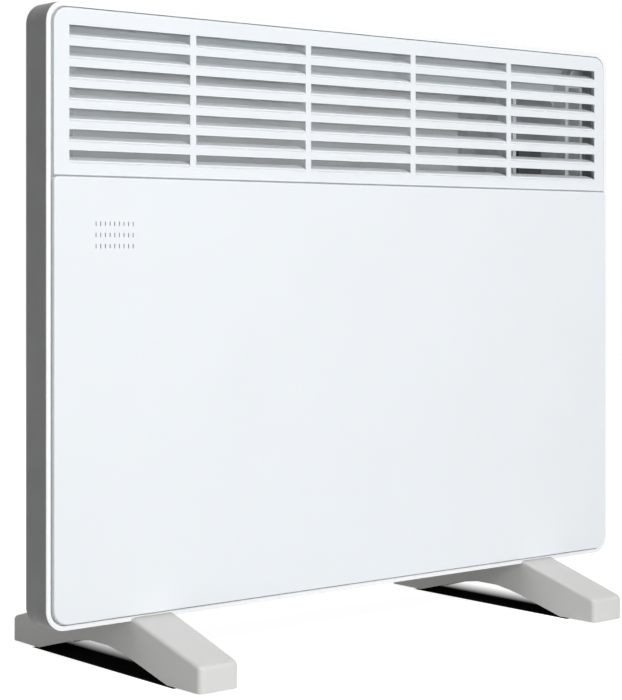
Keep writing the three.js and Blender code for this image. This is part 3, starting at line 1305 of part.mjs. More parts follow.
place('control_plate', controlPlate(), DARK_PLASTIC);
place('thermostat_body', thermostatBody(), DARK_PLASTIC);
place('thermostat_shaft', thermostatShaft(), STEEL);
place('thermostat_knob', thermostatKnob(), KNOB_PLASTIC);
place('switch_body', switchBody(), DARK_PLASTIC);
place('switch_key', switchKey(), DARK_PLASTIC);
place('sensor_bulb', sensorBulb(), COPPER);
place('sensor_clip', sensorClip(), ZINC);
place('sensor_capillary', sensorCapillary(), COPPER);

place('thermal_cutout', thermalCutout(), STEEL);
place('terminal_block', terminalBlock(), CERAMIC);
place('wire_block_to_switch', wireBlockToSwitch(), ['#7a4a2c', 0.6]);
place('wire_switch_to_thermostat', wireSwitchToThermostat(), ['#7a4a2c', 0.6]);
place('wire_thermostat_to_cutout', wireThermostatToCutout(), ['#7a4a2c', 0.6]);
place('wire_cutout_to_element', wireCutoutToElement(), ['#7a4a2c', 0.6]);
place('wire_element_to_block', wireElementToBlock(), ['#3d5f93', 0.6]);
place('cable_gland', cableGland(), DARK_PLASTIC);
place('gland_nut', glandNut(), DARK_PLASTIC);
place('earth_screw', earthScrew(), ZINC);

for (const [side, name] of [[-1, 'left'], [1, 'right']]) {
  const shift = [side * FOOT_X, 0, 0];
  place(`foot_${name}`, foot().translate(shift), FOOT_PLASTIC);
  place(`foot_pad_${name}_front`, footPad(-1).translate(shift), RUBBER);
  place(`foot_pad_${name}_rear`, footPad(1).translate(shift), RUBBER);
}
footScrewPlaces().forEach((spot, i) => place(`foot_screw_${i + 1}`, footScrew(spot), ZINC));
coverScrewPlaces().forEach((spot, i) => place(`cover_screw_${i + 1}`, coverScrew(spot), ZINC));
frameScrewPlaces().forEach((spot, i) => place(`frame_screw_${i + 1}`, frameScrew(spot), ZINC));

export default heater;
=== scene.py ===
# %% [markdown]
# # A wall panel convector heater
#
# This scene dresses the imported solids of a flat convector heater. The heater is a shallow steel
# box on two moulded feet. Cool air comes in through its underside, warms on a ribbed element and
# leaves by a louvred grille over a plain front panel. The pieces that are seen close are modelled
# again here with fine bends and rounded edges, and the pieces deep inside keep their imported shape
# and only get a finish.

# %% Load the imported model
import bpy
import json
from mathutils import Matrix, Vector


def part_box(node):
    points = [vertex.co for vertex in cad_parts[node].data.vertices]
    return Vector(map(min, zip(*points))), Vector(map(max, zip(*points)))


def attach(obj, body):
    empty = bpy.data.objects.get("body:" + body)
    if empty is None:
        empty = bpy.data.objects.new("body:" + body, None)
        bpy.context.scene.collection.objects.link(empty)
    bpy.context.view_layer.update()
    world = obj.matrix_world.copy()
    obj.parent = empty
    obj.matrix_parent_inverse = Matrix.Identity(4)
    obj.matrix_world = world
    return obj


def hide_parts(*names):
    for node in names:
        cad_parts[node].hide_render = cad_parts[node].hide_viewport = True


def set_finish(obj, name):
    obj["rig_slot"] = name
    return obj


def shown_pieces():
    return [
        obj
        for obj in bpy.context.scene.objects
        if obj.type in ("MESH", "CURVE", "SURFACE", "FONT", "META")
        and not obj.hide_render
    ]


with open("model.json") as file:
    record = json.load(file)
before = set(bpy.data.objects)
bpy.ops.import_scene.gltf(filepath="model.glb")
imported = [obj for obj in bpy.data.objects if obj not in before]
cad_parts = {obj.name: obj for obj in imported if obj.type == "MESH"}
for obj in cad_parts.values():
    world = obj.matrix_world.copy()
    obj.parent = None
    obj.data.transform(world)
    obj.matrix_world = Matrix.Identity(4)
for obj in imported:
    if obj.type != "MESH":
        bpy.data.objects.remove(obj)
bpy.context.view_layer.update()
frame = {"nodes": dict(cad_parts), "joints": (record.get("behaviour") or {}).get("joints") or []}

# %% [markdown]
# ## Names for the tools
#
# Blender's own module does the modelling, and bmesh only reads which vertices, edges and faces lie
# where, so that an operator can be given the right ones. Sizes are written in millimetres and
# multiplied by `MM`, because the scene itself is in metres.

# %% Modules and the unit
import json
import math

import bmesh
import bpy
from mathutils import Vector

MM = 0.001
RIGHT_ANGLE = math.pi / 2

# %% [markdown]
# ## The camera
#
# The photograph was taken level with the middle of the heater, from its left front, with a long
# lens. The camera therefore looks level along a bearing of 39.8 degrees, and its frame is shifted
# down instead of the camera being tipped, which keeps the heater's upright edges parallel.

# %% Camera
CAMERA_PLACE = (-910.4 * MM, -1076.3 * MM, 275.9 * MM)
CAMERA_BEARING = math.radians(39.76)
LENS = 98.96
FRAME_SHIFT = -0.1386

camera_data = bpy.data.cameras.new("studio_camera")
camera_data.lens = LENS
camera_data.sensor_width = 36
camera_data.shift_y = FRAME_SHIFT
camera_data.clip_start = 0.05
camera = bpy.data.objects.new("studio_camera", camera_data)
camera.location = CAMERA_PLACE
camera.rotation_euler = (RIGHT_ANGLE, 0, -CAMERA_BEARING)
bpy.context.scene.collection.objects.link(camera)
bpy.context.scene.camera = camera
print("camera looks level along", round(math.degrees(CAMERA_BEARING), 2), "degrees")

# %% [markdown]
# ## Selecting in code
#
# By hand one would click on the faces that an operator should change. In a script they are found by
# their place or by the way that they face. An operator works on all that is selected, so everything
# else is let go first.

# %% Helpers for selecting
def edit():
    bpy.ops.object.mode_set(mode="EDIT")


def leave_edit():
    bpy.ops.object.mode_set(mode="OBJECT")


def clear_selection():
    if bpy.context.object and bpy.context.object.mode != "OBJECT":
        leave_edit()
    bpy.ops.object.select_all(action="DESELECT")


def pick_only(piece):
    clear_selection()
    piece.select_set(True)
    bpy.context.view_layer.objects.active = piece


def choose_all():
    bpy.ops.mesh.select_all(action="SELECT")


def choose(kind, test):
    """In edit mode, selects only the vertices, edges or faces that pass the test."""
    bpy.ops.mesh.select_mode(type=kind)
    bpy.ops.mesh.select_all(action="DESELECT")
    mesh = bmesh.from_edit_mesh(bpy.context.object.data)
    parts = {"VERT": mesh.verts, "EDGE": mesh.edges, "FACE": mesh.faces}[kind]
    mesh.normal_update()
    found = [part for part in parts if test(part)]
    for part in found:
        part.select_set(True)
    bmesh.update_edit_mesh(bpy.context.object.data)
    return len(found)


def along(edge, axis):
    """True for an edge that runs along one axis, 0 for X, 1 for Y and 2 for Z."""
    step = edge.verts[1].co - edge.verts[0].co
    return abs(step[axis]) > 0.99 * step.length


def near(value, target, slack=0.02 * MM):
    return abs(value - target) < slack


def at_depth(edge, y):
    """True for an edge that lies at one depth behind the front."""
    return all(near(v.co.y, y) for v in edge.verts)


# %% [markdown]
# ## Finishing a piece
#
# Two things make pressed sheet and mouldings look real: no edge is perfectly sharp, and a flat face
# stays flat in the light right up to its rounded edge. A small bevel gives the first. Weighted
# normals give the second, because they let the large face decide how the shared corners are shaded.

# %% Helpers for finishing
def apply_modifier(piece, kind, **settings):
    pick_only(piece)
    bpy.ops.object.modifier_add(type=kind)
    modifier = piece.modifiers[-1]
    for name, value in settings.items():
        setattr(modifier, name, value)
    bpy.ops.object.modifier_apply(modifier=modifier.name)


def soften(piece, width, segments=2, angle=40):
    """Rounds the sharp edges of a finished piece and keeps its flat faces flat in the light."""
    apply_modifier(
        piece, "BEVEL", width=width, segments=segments, limit_method="ANGLE",
        angle_limit=math.radians(angle), use_clamp_overlap=True,
    )
    pick_only(piece)
    bpy.ops.object.shade_smooth_by_angle(angle=math.radians(50))
    apply_modifier(piece, "WEIGHTED_NORMAL", keep_sharp=True, weight=80)


def thicken(sheet, thickness):
    """Gives a sheet its thickness, inwards from the face that was drawn."""
    apply_modifier(sheet, "SOLIDIFY", thickness=thickness, offset=-1, use_even_offset=True)


def merge_doubles(threshold):
    choose_all()
    bpy.ops.mesh.remove_doubles(threshold=threshold)


def combine(piece, tool, operation):
    apply_modifier(piece, "BOOLEAN", object=tool, operation=operation, solver="EXACT")
    bpy.data.meshes.remove(tool.data)
    edit()
    merge_doubles(0.004 * MM)
    leave_edit()


def cut(piece, tool):
    """Cuts a second closed piece out of the first and clears it up."""
    combine(piece, tool, "DIFFERENCE")


def join(piece, tool):
    """Joins a second closed piece to the first and clears it up."""
    combine(piece, tool, "UNION")


def hand_over(piece, node, body="casing"):
    """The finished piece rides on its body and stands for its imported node."""
    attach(piece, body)
    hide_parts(node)
    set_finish(piece, frame["nodes"][node].data.materials[0].name)
    print(piece.name, "has", len(piece.data.polygons), "faces")


# %% [markdown]
# ## Rounded blocks
#
# Nearly every pressed piece of this heater starts as the same form: a block that lies across the
# heater with its four long corners rounded. A cube is added, stretched to its box, and the four
# edges that run from front to back are bevelled, the lower pair and the upper pair each to its own
# radius. The operators that shape everything else get short names here too.

# %% Helpers for shaping
def settle():
    """Writes the place, turn and scale of the selected piece into its mesh."""
    bpy.ops.object.transform_apply(location=True, rotation=True, scale=True)


def bevel(width, segments, affect="EDGES"):
    bpy.ops.mesh.bevel(offset=width, segments=segments, affect=affect)


def extrude(step):
    """Draws the selected faces or edges out by a step."""
    bpy.ops.mesh.extrude_region_move(TRANSFORM_OT_translate={"value": step})


def bisect_all(place, direction, **settings):
    choose_all()
    bpy.ops.mesh.bisect(plane_co=place, plane_no=direction, **settings)


def box_to_shape(name, middle, size):
    """A box at its place, open in edit mode."""
    clear_selection()
    bpy.ops.mesh.primitive_cube_add(size=1, location=middle)
    box = bpy.context.object
    box.name = name
    box.scale = size
    settle()
    edit()
    return box


# %% A rounded block
CORNER_STEPS = 10


def rounded_block(name, low, high, low_radius=0, high_radius=0, segments=CORNER_STEPS):
    """A block between two corners, given in metres, with its edges along Y rounded."""
    middle = (Vector(low) + Vector(high)) / 2
    block = box_to_shape(name, middle, Vector(high) - Vector(low))
    for radius, upper in ((low_radius, False), (high_radius, True)):
        if radius:
            choose("EDGE", lambda e: along(e, 1) and (e.verts[0].co.z > middle.z) == upper)
            bevel(radius, segments)
    leave_edit()
    return block


# %% [markdown]
# ## Sizes taken from the frame
#
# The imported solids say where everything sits. Reading their boxes keeps each new piece in its place,
# and only the sizes that a box can't tell, such as a radius or a sheet's thickness, are written out.

# %% Driving dimensions
SHEET = 1.0 * MM
FIT_GAP = 0.3 * MM
CORNER = 13.5 * MM          # outer corner of the lip and of the shell

frame_low, frame_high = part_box("front_frame")
grille_low, grille_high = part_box("outlet_grille")
panel_low, panel_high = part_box("front_panel")
shell_low, shell_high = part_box("casing_shell")
cover_low, cover_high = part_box("rear_cover")
print("casing is", round((frame_high.x - frame_low.x) / MM), "mm wide")

# %% [markdown]
# ## Holes for the fasteners
#
# The sheets are drilled after they have been pressed, and so are these: a plain round bar is cut
# away wherever a screw passes, and the controls get their own openings in the side of the cover.

# %% Drill and punch
HOLE_RADIUS = 2.3 * MM
BUSH_HOLE, GLAND_HOLE = 5.3 * MM, 8.3 * MM
WINDOW_Y, WINDOW_Z = 7.7 * MM, 11.9 * MM


def round_bar(axis, place, radius, length, vertices=32):
    """A round bar with its middle at a place, along X, Y or Z."""
    clear_selection()
    turn = ((0, RIGHT_ANGLE, 0), (RIGHT_ANGLE, 0, 0), (0, 0, 0))[axis]
    bpy.ops.mesh.primitive_cylinder_add(
        vertices=vertices, radius=radius, depth=length, rotation=turn, location=place,
    )
    settle()
    return bpy.context.object


def middle_of(node):
    low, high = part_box(node)
    return (low + high) / 2


def drill(piece, axis, node, radius, length=6 * SHEET, at=None):
    """Cuts a round hole on the axis of a node, with the depth of the drill given by at."""
    place = middle_of(node)
    if at is not None:
        place[axis] = at
    cut(piece, round_bar(axis, place, radius, length))


def drill_family(piece, axis, family, numbers, at):
    """Drills the holes of some screws of one family."""
    for number in numbers:
        drill(piece, axis, f"{family}_{number}", HOLE_RADIUS, at=at)


# %% [markdown]
# ## The front frame
#
# The white line round the front is the edge of a pressed frame: a 3 mm lip, a wall that goes back
# 4.5 mm, and a flat floor that carries both front panels. It is made from one flat plate. The plate
# is inset by the lip's width, its middle pushed back for the groove, and inset again for the floor.
# The second inset is wider than the round corners, so the points that cross over there are drawn
# together into one square corner. A strip behind the seam bridges the two sides.

# %% Front frame
LIP_WIDTH, FRAME_SHEET = 3.1 * MM, 0.9 * MM
GROOVE_DEPTH = 4.5 * MM
FLOOR_WIDTH = 12.9 * MM
CROSSED = 3.2 * MM              # the second inset crosses itself this near to a corner
CROSSBAR = 18 * MM
RELIEF = 4.5 * MM               # how much wider the frame's opening is behind the grille
seam_z = (grille_low.z + panel_high.z) / 2
relief_low, relief_high = seam_z + CROSSBAR / 2 + MM, grille_high.z - 1.5 * RELIEF


def front_plate(name, low, high, low_radius, high_radius):
    """A single flat face looking to the front, at low.y, with rounded corners."""
    clear_selection()
    middle = ((low.x + high.x) / 2, low.y, (low.z + high.z) / 2)
    bpy.ops.mesh.primitive_plane_add(size=1, location=middle, rotation=(RIGHT_ANGLE, 0, 0))
    plate = bpy.context.object
    plate.name = name
    plate.scale = (high.x - low.x, high.z - low.z, 1)
    settle()
    edit()
    for radius, upper in ((low_radius, False), (high_radius, True)):
        choose("VERT", lambda v: (v.co.z > middle[2]) == upper)
        bevel(radius, CORNER_STEPS, "VERTICES")
    leave_edit()
    return plate


lip_frame = front_plate("lip_frame", frame_low, frame_high, CORNER, CORNER)
edit()
choose("FACE", lambda f: True)
bpy.ops.mesh.inset(thickness=LIP_WIDTH, depth=0, use_boundary=True)
extrude((0, GROOVE_DEPTH, 0))
bpy.ops.mesh.inset(thickness=FLOOR_WIDTH, depth=0, use_boundary=True)
bpy.ops.mesh.delete(type="FACE")
inner_x = frame_high.x - LIP_WIDTH - FLOOR_WIDTH
for side in (-1, 1):
    for end_z in (frame_low.z + LIP_WIDTH + FLOOR_WIDTH, frame_high.z - LIP_WIDTH - FLOOR_WIDTH):
        inner_corner = Vector((side * inner_x, frame_low.y + GROOVE_DEPTH, end_z))
        choose("VERT", lambda v: (v.co - inner_corner).length < CROSSED)
        bpy.ops.transform.resize(value=(0, 0, 0), center_override=inner_corner)
merge_doubles(0.01 * MM)
for z in (seam_z - CROSSBAR / 2, seam_z + CROSSBAR / 2, relief_low, relief_high):
    bisect_all((0, 0, z), (0, 0, 1))
for x in (-inner_x - RELIEF, inner_x + RELIEF):
    bisect_all((x, 0, 0), (1, 0, 0))
choose("EDGE", lambda e: all(
    near(abs(v.co.x), inner_x) and abs(v.co.z - seam_z) < CROSSBAR / 2 + 0.1 * MM for v in e.verts
))
bpy.ops.mesh.bridge_edge_loops()
choose("FACE", lambda f: relief_low < f.calc_center_median().z < relief_high
       and abs(f.calc_center_median().x) < inner_x + RELIEF)
bpy.ops.mesh.delete(type="FACE")
merge_doubles(0.01 * MM)
leave_edit()
thicken(lip_frame, FRAME_SHEET)

# %% Screw holes and release slots
RELEASE_ABOVE = 64.5 * MM
RELEASE_SIZE = Vector((1, 4, 4)) * MM

groove_y = frame_low.y + GROOVE_DEPTH
drill_family(lip_frame, 1, "frame_screw", range(1, 5), groove_y)
for side in (-1, 1):
    release = Vector((side * (frame_high.x - LIP_WIDTH - RELEASE_SIZE.x / 2), groove_y, 0))
    release.z = frame_low.z + RELEASE_ABOVE
    cut(lip_frame, rounded_block("notch", release - RELEASE_SIZE / 2, release + RELEASE_SIZE / 2))
soften(lip_frame, 0.22 * MM, segments=3)
hand_over(lip_frame, "front_frame")

# %% [markdown]
# ## The louvred grille
#
# This is the piece that took the most thought. Each louvre is a flap of the sheet itself: a slot is
# cut on three sides and the flap is bent inwards about the slot's lower edge, so it stays part of
# the sheet. The same happens here. The flat plate is bisected along every slot's sides, the slot
# faces are deleted, the lower edge of each row is spun about the axis of its bend, and the flap is
# drawn out straight from there. Solidify then gives the whole sheet one thickness.

# %% Sizes of the louvres
COLUMNS, ROWS = 5, 7
SLOT_LENGTH, SLOT_HEIGHT = 95 * MM, 7.5 * MM
PITCH_X, PITCH_Z = 99.9 * MM, 13.3 * MM
PLATE_ASIDE, PLATE_RAISED = 0.6 * MM, 0.6 * MM      # the plate isn't quite centred in its frame
TOP_DROP, SLOTS_SHIFT = 10.9 * MM, 0.8 * MM
BLADE_ANGLE = math.radians(68)
BEND_RADIUS = 1.2 * MM
BLADE_CORNER = 4 * MM
BLADE_GAP = 0.3 * MM
CREASE_WIDTH, CREASE_DEPTH = 1.2 * MM, 0.8 * MM
GRILLE_CORNER_LOW, GRILLE_CORNER_HIGH = 0.6 * MM, 10.5 * MM
GRILLE_BEND = 0.6 * MM

grille_low = grille_low + Vector((PLATE_ASIDE, 0, 0))
grille_high = grille_high + Vector((PLATE_ASIDE, 0, PLATE_RAISED))
slot_middles = [SLOTS_SHIFT + (column - (COLUMNS - 1) / 2) * PITCH_X for column in range(COLUMNS)]
slot_floors = [grille_high.z - TOP_DROP - SLOT_HEIGHT - row * PITCH_Z for row in range(ROWS)]
print("lowest slot is", round((slot_floors[-1] - grille_low.z) / MM, 1), "mm above the seam")


def in_slot(x, z):
    """True for a place inside one of the slots of the flat plate."""
    beside = any(abs(x - middle) < SLOT_LENGTH / 2 for middle in slot_middles)
    return beside and any(floor < z < floor + SLOT_HEIGHT for floor in slot_floors)


# %% Cut the slots
grille = front_plate("louvred_grille", grille_low, grille_high, GRILLE_CORNER_LOW, GRILLE_CORNER_HIGH)
edit()
bpy.ops.mesh.select_mode(type="FACE")
for middle in slot_middles:
    for side in (-1, 1):
        bisect_all((middle + side * SLOT_LENGTH / 2, 0, 0), (1, 0, 0))
        bisect_all((middle + side * (SLOT_LENGTH / 2 - BLADE_GAP), 0, 0), (1, 0, 0))
for floor in slot_floors:
    for height in (-CREASE_WIDTH, -CREASE_WIDTH / 2, 0, SLOT_HEIGHT):
        bisect_all((0, 0, floor + height), (0, 0, 1))
choose("FACE", lambda f: in_slot(f.calc_center_median().x, f.calc_center_median().z))
bpy.ops.mesh.delete(type="FACE")


def on_blade(x):
    """True for a place as far along a slot as its blade reaches."""
    return any(abs(x - middle) < SLOT_LENGTH / 2 - BLADE_GAP / 2 for middle in slot_middles)


crease_lines = [floor - CREASE_WIDTH / 2 for floor in slot_floors]
creased = choose("VERT", lambda v: on_blade(v.co.x) and any(near(v.co.z, z) for z in crease_lines))
bpy.ops.transform.translate(value=(0, CREASE_DEPTH, 0))
print(creased, "points pressed in for the creases under the slots")

# %% Bend the blades
bend_length = (BEND_RADIUS - SHEET / 2) * BLADE_ANGLE
blade_reach = SLOT_HEIGHT - bend_length


def on_blade_root(vertex, floor):
    """True on the part of a slot's lower edge that a blade hangs from."""
    reach = SLOT_LENGTH / 2 - BLADE_GAP + 0.01 * MM
    return near(vertex.co.z, floor) and any(abs(vertex.co.x - m) < reach for m in slot_middles)


for floor in slot_floors:
    choose("EDGE", lambda e: along(e, 0) and all(on_blade_root(v, floor) for v in e.verts))
    bpy.ops.mesh.spin(
        steps=4, angle=BLADE_ANGLE, center=(0, grille_low.y + BEND_RADIUS, floor), axis=(1, 0, 0),
    )
    extrude((0, math.sin(BLADE_ANGLE) * blade_reach, math.cos(BLADE_ANGLE) * blade_reach))
print("each blade reaches", round(blade_reach / MM, 2), "mm past its bend")

# %% [markdown]
# The free corners of each blade are rounded with a vertex bevel. Then the outline of the whole
# plate is folded back to make the grille's sides, and the fold is rounded before the sheet gets its
# thickness.

# %% Round the blades and fold the sides
tip_y = grille_low.y + BEND_RADIUS * (1 - math.cos(BLADE_ANGLE)) + math.sin(BLADE_ANGLE) * blade_reach
blade_corners = choose("VERT", lambda v: near(v.co.y, tip_y, 0.05 * MM))
bevel(BLADE_CORNER, 6, "VERTICES")
print(blade_corners, "blade corners rounded")

slots_reach = slot_middles[-1] + SLOT_LENGTH / 2
TRAY_DEPTH = GROOVE_DEPTH - FIT_GAP


def on_outline(vertex, low, high):
    """True for a vertex of the flat plate on its outer edge."""
    level = near(vertex.co.z, low.z) or near(vertex.co.z, high.z)
    return near(vertex.co.y, low.y) and (level or abs(vertex.co.x) > slots_reach + 0.5 * MM)


choose("EDGE", lambda e: e.is_boundary and all(on_outline(v, grille_low, grille_high) for v in e.verts))
extrude((0, frame_low.y + TRAY_DEPTH - grille_low.y, 0))
choose("EDGE", lambda e: len(e.link_faces) == 2 and e.calc_face_angle() > 1 and all(
    on_outline(v, grille_low, grille_high) for v in e.verts
))
bevel(GRILLE_BEND, 3)
choose_all()
bpy.ops.mesh.normals_make_consistent(inside=False)
if choose("FACE", lambda f: near(f.calc_center_median().y, grille_low.y) and f.normal.y > 0.9):
    choose_all()
    bpy.ops.mesh.flip_normals()
leave_edit()
thicken(grille, SHEET)
soften(grille, 0.14 * MM)
hand_over(grille, "outlet_grille")

# %% [markdown]
# ## The front panel
#
# The panel under the grille is a shallow steel tray that stands 2 mm further out. Its edges roll
# over a small radius all round, and its lower corners follow the casing's. In front of the room
# sensor three rows of fine slits are stamped through it. One slit is modelled, laid out by two
# arrays, and cut away from the tray in one go. The shell and the rear cover are pressed the same way
# further on, so the pressing is a function.

# %% A pressed tray
TO_THE_FRONT, TO_THE_BACK = -1, 1


def press_tray(block, closed_y, opens, bend, segments):
    """Rolls the edge round a block's closed face, opens the face opposite and gives the sheet its
    thickness."""
    edit()
    choose("EDGE", lambda e: at_depth(e, closed_y))
    bevel(bend, segments)
    choose("FACE", lambda f: f.normal.y * opens > 0.99)
    bpy.ops.mesh.delete(type="FACE")
    leave_edit()
    thicken(block, SHEET)


# %% Front panel
PANEL_CORNER_LOW, PANEL_CORNER_HIGH = 10.5 * MM, 3 * MM
PANEL_BEND, PANEL_DROP, PANEL_ASIDE = 0.9 * MM, 0.5 * MM, 0.5 * MM

panel_foot = panel_low - Vector((PANEL_ASIDE, 0, PANEL_DROP))
panel = rounded_block(
    "plain_front_panel", panel_foot, panel_high, PANEL_CORNER_LOW, PANEL_CORNER_HIGH, segments=8,
)
press_tray(panel, panel_low.y, TO_THE_BACK, PANEL_BEND, 5)

# %% Sensor slits
SLIT_SIZE, SLIT_ROUND = Vector((0.7, 4, 3)) * MM, 0.3 * MM
SLIT_ROWS, SLIT_COLUMNS = 3, 9
SLIT_PITCH_X, SLIT_PITCH_Z = 3.59 * MM, 7.2 * MM
SLITS_FROM_LEFT, SLITS_BELOW_SEAM = 49.6 * MM, 37.5 * MM


def laid_out(piece, count, step):
    """Repeats a piece in a row, with a constant step between the copies."""
    apply_modifier(
        piece, "ARRAY", count=count, use_relative_offset=False, use_constant_offset=True,
        constant_offset_displace=step,
    )


first_x = frame_low.x + SLITS_FROM_LEFT - (SLIT_COLUMNS - 1) / 2 * SLIT_PITCH_X
first_z = seam_z - SLITS_BELOW_SEAM - (SLIT_ROWS - 1) / 2 * SLIT_PITCH_Z
slit_place = Vector((first_x, panel_low.y, first_z))
slit_low, slit_high = slit_place - SLIT_SIZE / 2, slit_place + SLIT_SIZE / 2
slits = rounded_block("slits", slit_low, slit_high, SLIT_ROUND, SLIT_ROUND, 3)
laid_out(slits, SLIT_COLUMNS, (SLIT_PITCH_X, 0, 0))
laid_out(slits, SLIT_ROWS, (0, 0, SLIT_PITCH_Z))
cut(panel, slits)
soften(panel, 0.12 * MM, angle=60)
hand_over(panel, "front_panel")

# %% [markdown]
# ## The casing shell
#
# Behind the lip a shallow shell goes round the heater, open to the front. Its back wall has a wide
# mouth for the rear cover, and its underside has a row of air slots. The shell is hollowed first and
# its openings are cut afterwards, as a press would do it.

# %% Casing shell
REAR_TOP_RADIUS, REAR_LOW_RADIUS, SHELL_BEND = 18 * MM, 5 * MM, 0.8 * MM
FLANGE = 10 * MM
SILL = 0.2 * MM             # what is left of the back wall over the floor
casing_floor = shell_low.z
body_low = Vector((cover_low.x + FLANGE, cover_low.y, casing_floor))
body_high = Vector((cover_high.x - FLANGE, cover_high.y, cover_high.z - FLANGE))
wall = Vector((SHEET, 0, SHEET))

shell = rounded_block("casing_shell_sheet", shell_low, shell_high, CORNER, CORNER, segments=12)
press_tray(shell, shell_high.y, TO_THE_FRONT, SHELL_BEND, 3)
mouth_low = Vector((body_low.x, shell_high.y - 3 * SHEET, body_low.z + SILL)) + wall
mouth_high = Vector((body_high.x, shell_high.y + SHEET, body_high.z)) - wall
mouth = rounded_block("mouth", mouth_low, mouth_high, REAR_LOW_RADIUS - SHEET, REAR_TOP_RADIUS - SHEET)
cut(shell, mouth)

# %% Air slots in the underside
SLOT_COUNT, AIR_SLOT_LENGTH, AIR_PITCH = 7, 34 * MM, 42 * MM
SHELL_SLOT_Y, SHELL_SLOT_WIDTH = 13.5 * MM, 8 * MM
COVER_SLOTS_Y, COVER_SLOT_WIDTH = (39.5 * MM, 25.5 * MM, 11.5 * MM), 6 * MM
ROUND_END = 0.495           # a bevel of just under half the width makes a round end


def air_slots(y, width):
    """A row of round-ended cutters through the sheet of the underside."""
    first = -(SLOT_COUNT - 1) / 2 * AIR_PITCH
    size = (AIR_SLOT_LENGTH, width, 4 * SHEET)
    cutters = box_to_shape("air_slots", (first, y, casing_floor), size)
    choose("EDGE", lambda e: along(e, 2))
    bevel(width * ROUND_END, 6)
    leave_edit()
    laid_out(cutters, SLOT_COUNT, (AIR_PITCH, 0, 0))
    return cutters


cut(shell, air_slots(shell_low.y + SHELL_SLOT_Y, SHELL_SLOT_WIDTH))

# %% Tabs for the front frame
TAB_HEIGHT, TAB_REACH, TAB_THICKNESS = 22 * MM, 13.8 * MM, 2 * MM
tab_y = groove_y + SHEET + FIT_GAP

for number in (1, 2, 3, 4):
    screw_place = middle_of(f"frame_screw_{number}")
    side = math.copysign(1, screw_place.x)
    ends = sorted((side * (shell_high.x - SHEET / 2), side * (shell_high.x - TAB_REACH)))
    tab_low = (ends[0], tab_y, screw_place.z - TAB_HEIGHT / 2)
    tab_high = (ends[1], tab_y + TAB_THICKNESS, screw_place.z + TAB_HEIGHT / 2)
    join(shell, rounded_block("tab", tab_low, tab_high))
    drill(shell, 1, f"frame_screw_{number}", HOLE_RADIUS, at=tab_y + SHEET)
drill_family(shell, 1, "cover_screw", range(1, 7), shell_high.y)
drill_family(shell, 2, "foot_screw", (1, 3), casing_floor)
soften(shell, 0.15 * MM, angle=60)
hand_over(shell, "casing_shell")

# %% [markdown]
# ## The rear cover
#
# The back of the heater is a deep pressed cover, narrower and lower than the front, with a flange
# that is screwed to the shell. It starts as a rounded block whose rear edges are rolled, loses its
# front face, and is given its thickness. A flange plate is added, a shallow field is pressed into
# the back wall to stiffen it, and two keyholes let it hang on a wall.

# %% Rear cover
REAR_BEND = 4 * MM
cover = rounded_block("rear_cover_sheet", body_low, body_high, REAR_LOW_RADIUS, REAR_TOP_RADIUS, 12)
press_tray(cover, body_high.y, TO_THE_FRONT, REAR_BEND, 6)

flange_low = (cover_low.x, cover_low.y, casing_floor)
flange_high = (cover_high.x, cover_low.y + SHEET, cover_high.z)
flange = rounded_block("flange", flange_low, flange_high, REAR_LOW_RADIUS, REAR_TOP_RADIUS + FLANGE, 12)
inner_low = Vector((body_low.x, cover_low.y - SHEET, body_low.z)) + wall / 2
inner_high = Vector((body_high.x, cover_low.y + 2 * SHEET, body_high.z)) - wall / 2
opening = rounded_block(
    "opening", inner_low, inner_high, REAR_LOW_RADIUS - SHEET / 2, REAR_TOP_RADIUS - SHEET / 2, 12,
)
cut(flange, opening)
join(cover, flange)

# %% Pressed field and keyholes
FIELD_DEPTH, FIELD_RADIUS = 2 * MM, 12 * MM
FIELD_HALF, FIELD_BOTTOM, FIELD_TOP = 149 * MM, 106 * MM, 271 * MM
KEYHOLE_X, KEYHOLE_Z = 150 * MM, 308 * MM
KEYHOLE_HEAD, KEYHOLE_SLOT, KEYHOLE_DROP = 5.5 * MM, 2.6 * MM, 9 * MM
back_y = cover_high.y

field_low = Vector((-FIELD_HALF, back_y - SHEET - FIELD_DEPTH, FIELD_BOTTOM))
field_high = Vector((FIELD_HALF, back_y - SHEET / 2, FIELD_TOP))
field_low, field_high = field_low - wall, field_high + wall
join(cover, rounded_block("inner_field", field_low, field_high, FIELD_RADIUS, FIELD_RADIUS))
pressing_low = (-FIELD_HALF, back_y - FIELD_DEPTH, FIELD_BOTTOM)
pressing_high = (FIELD_HALF, back_y + SHEET, FIELD_TOP)
cut(cover, rounded_block("pressing", pressing_low, pressing_high, FIELD_RADIUS, FIELD_RADIUS))
for side in (-1, 1):
    head_place = (side * KEYHOLE_X, back_y, KEYHOLE_Z - KEYHOLE_DROP)
    cut(cover, round_bar(1, head_place, KEYHOLE_HEAD, 6 * SHEET))
    hole_x, slot_top = side * KEYHOLE_X, KEYHOLE_Z + KEYHOLE_SLOT
    slot_low = (hole_x - KEYHOLE_SLOT, back_y - 3 * SHEET, KEYHOLE_Z - KEYHOLE_DROP)
    slot_high = (hole_x + KEYHOLE_SLOT, back_y + SHEET, slot_top)
    cut(cover, rounded_block("slot", slot_low, slot_high, high_radius=KEYHOLE_SLOT * 0.95, segments=6))
for behind in COVER_SLOTS_Y:
    cut(cover, air_slots(back_y - behind, COVER_SLOT_WIDTH))
drill_family(cover, 1, "cover_screw", range(1, 7), cover_low.y)
drill_family(cover, 2, "foot_screw", (2, 4), casing_floor)
drill(cover, 0, "thermostat_shaft", BUSH_HOLE, at=body_high.x)
drill(cover, 0, "cable_gland", GLAND_HOLE, at=body_high.x)
window_middle = middle_of("switch_body")
window_middle.x = body_high.x
window_half = Vector((3 * SHEET, WINDOW_Y, WINDOW_Z))
cut(cover, rounded_block("window", window_middle - window_half, window_middle + window_half))
soften(cover, 0.18 * MM, angle=50)
hand_over(cover, "rear_cover")

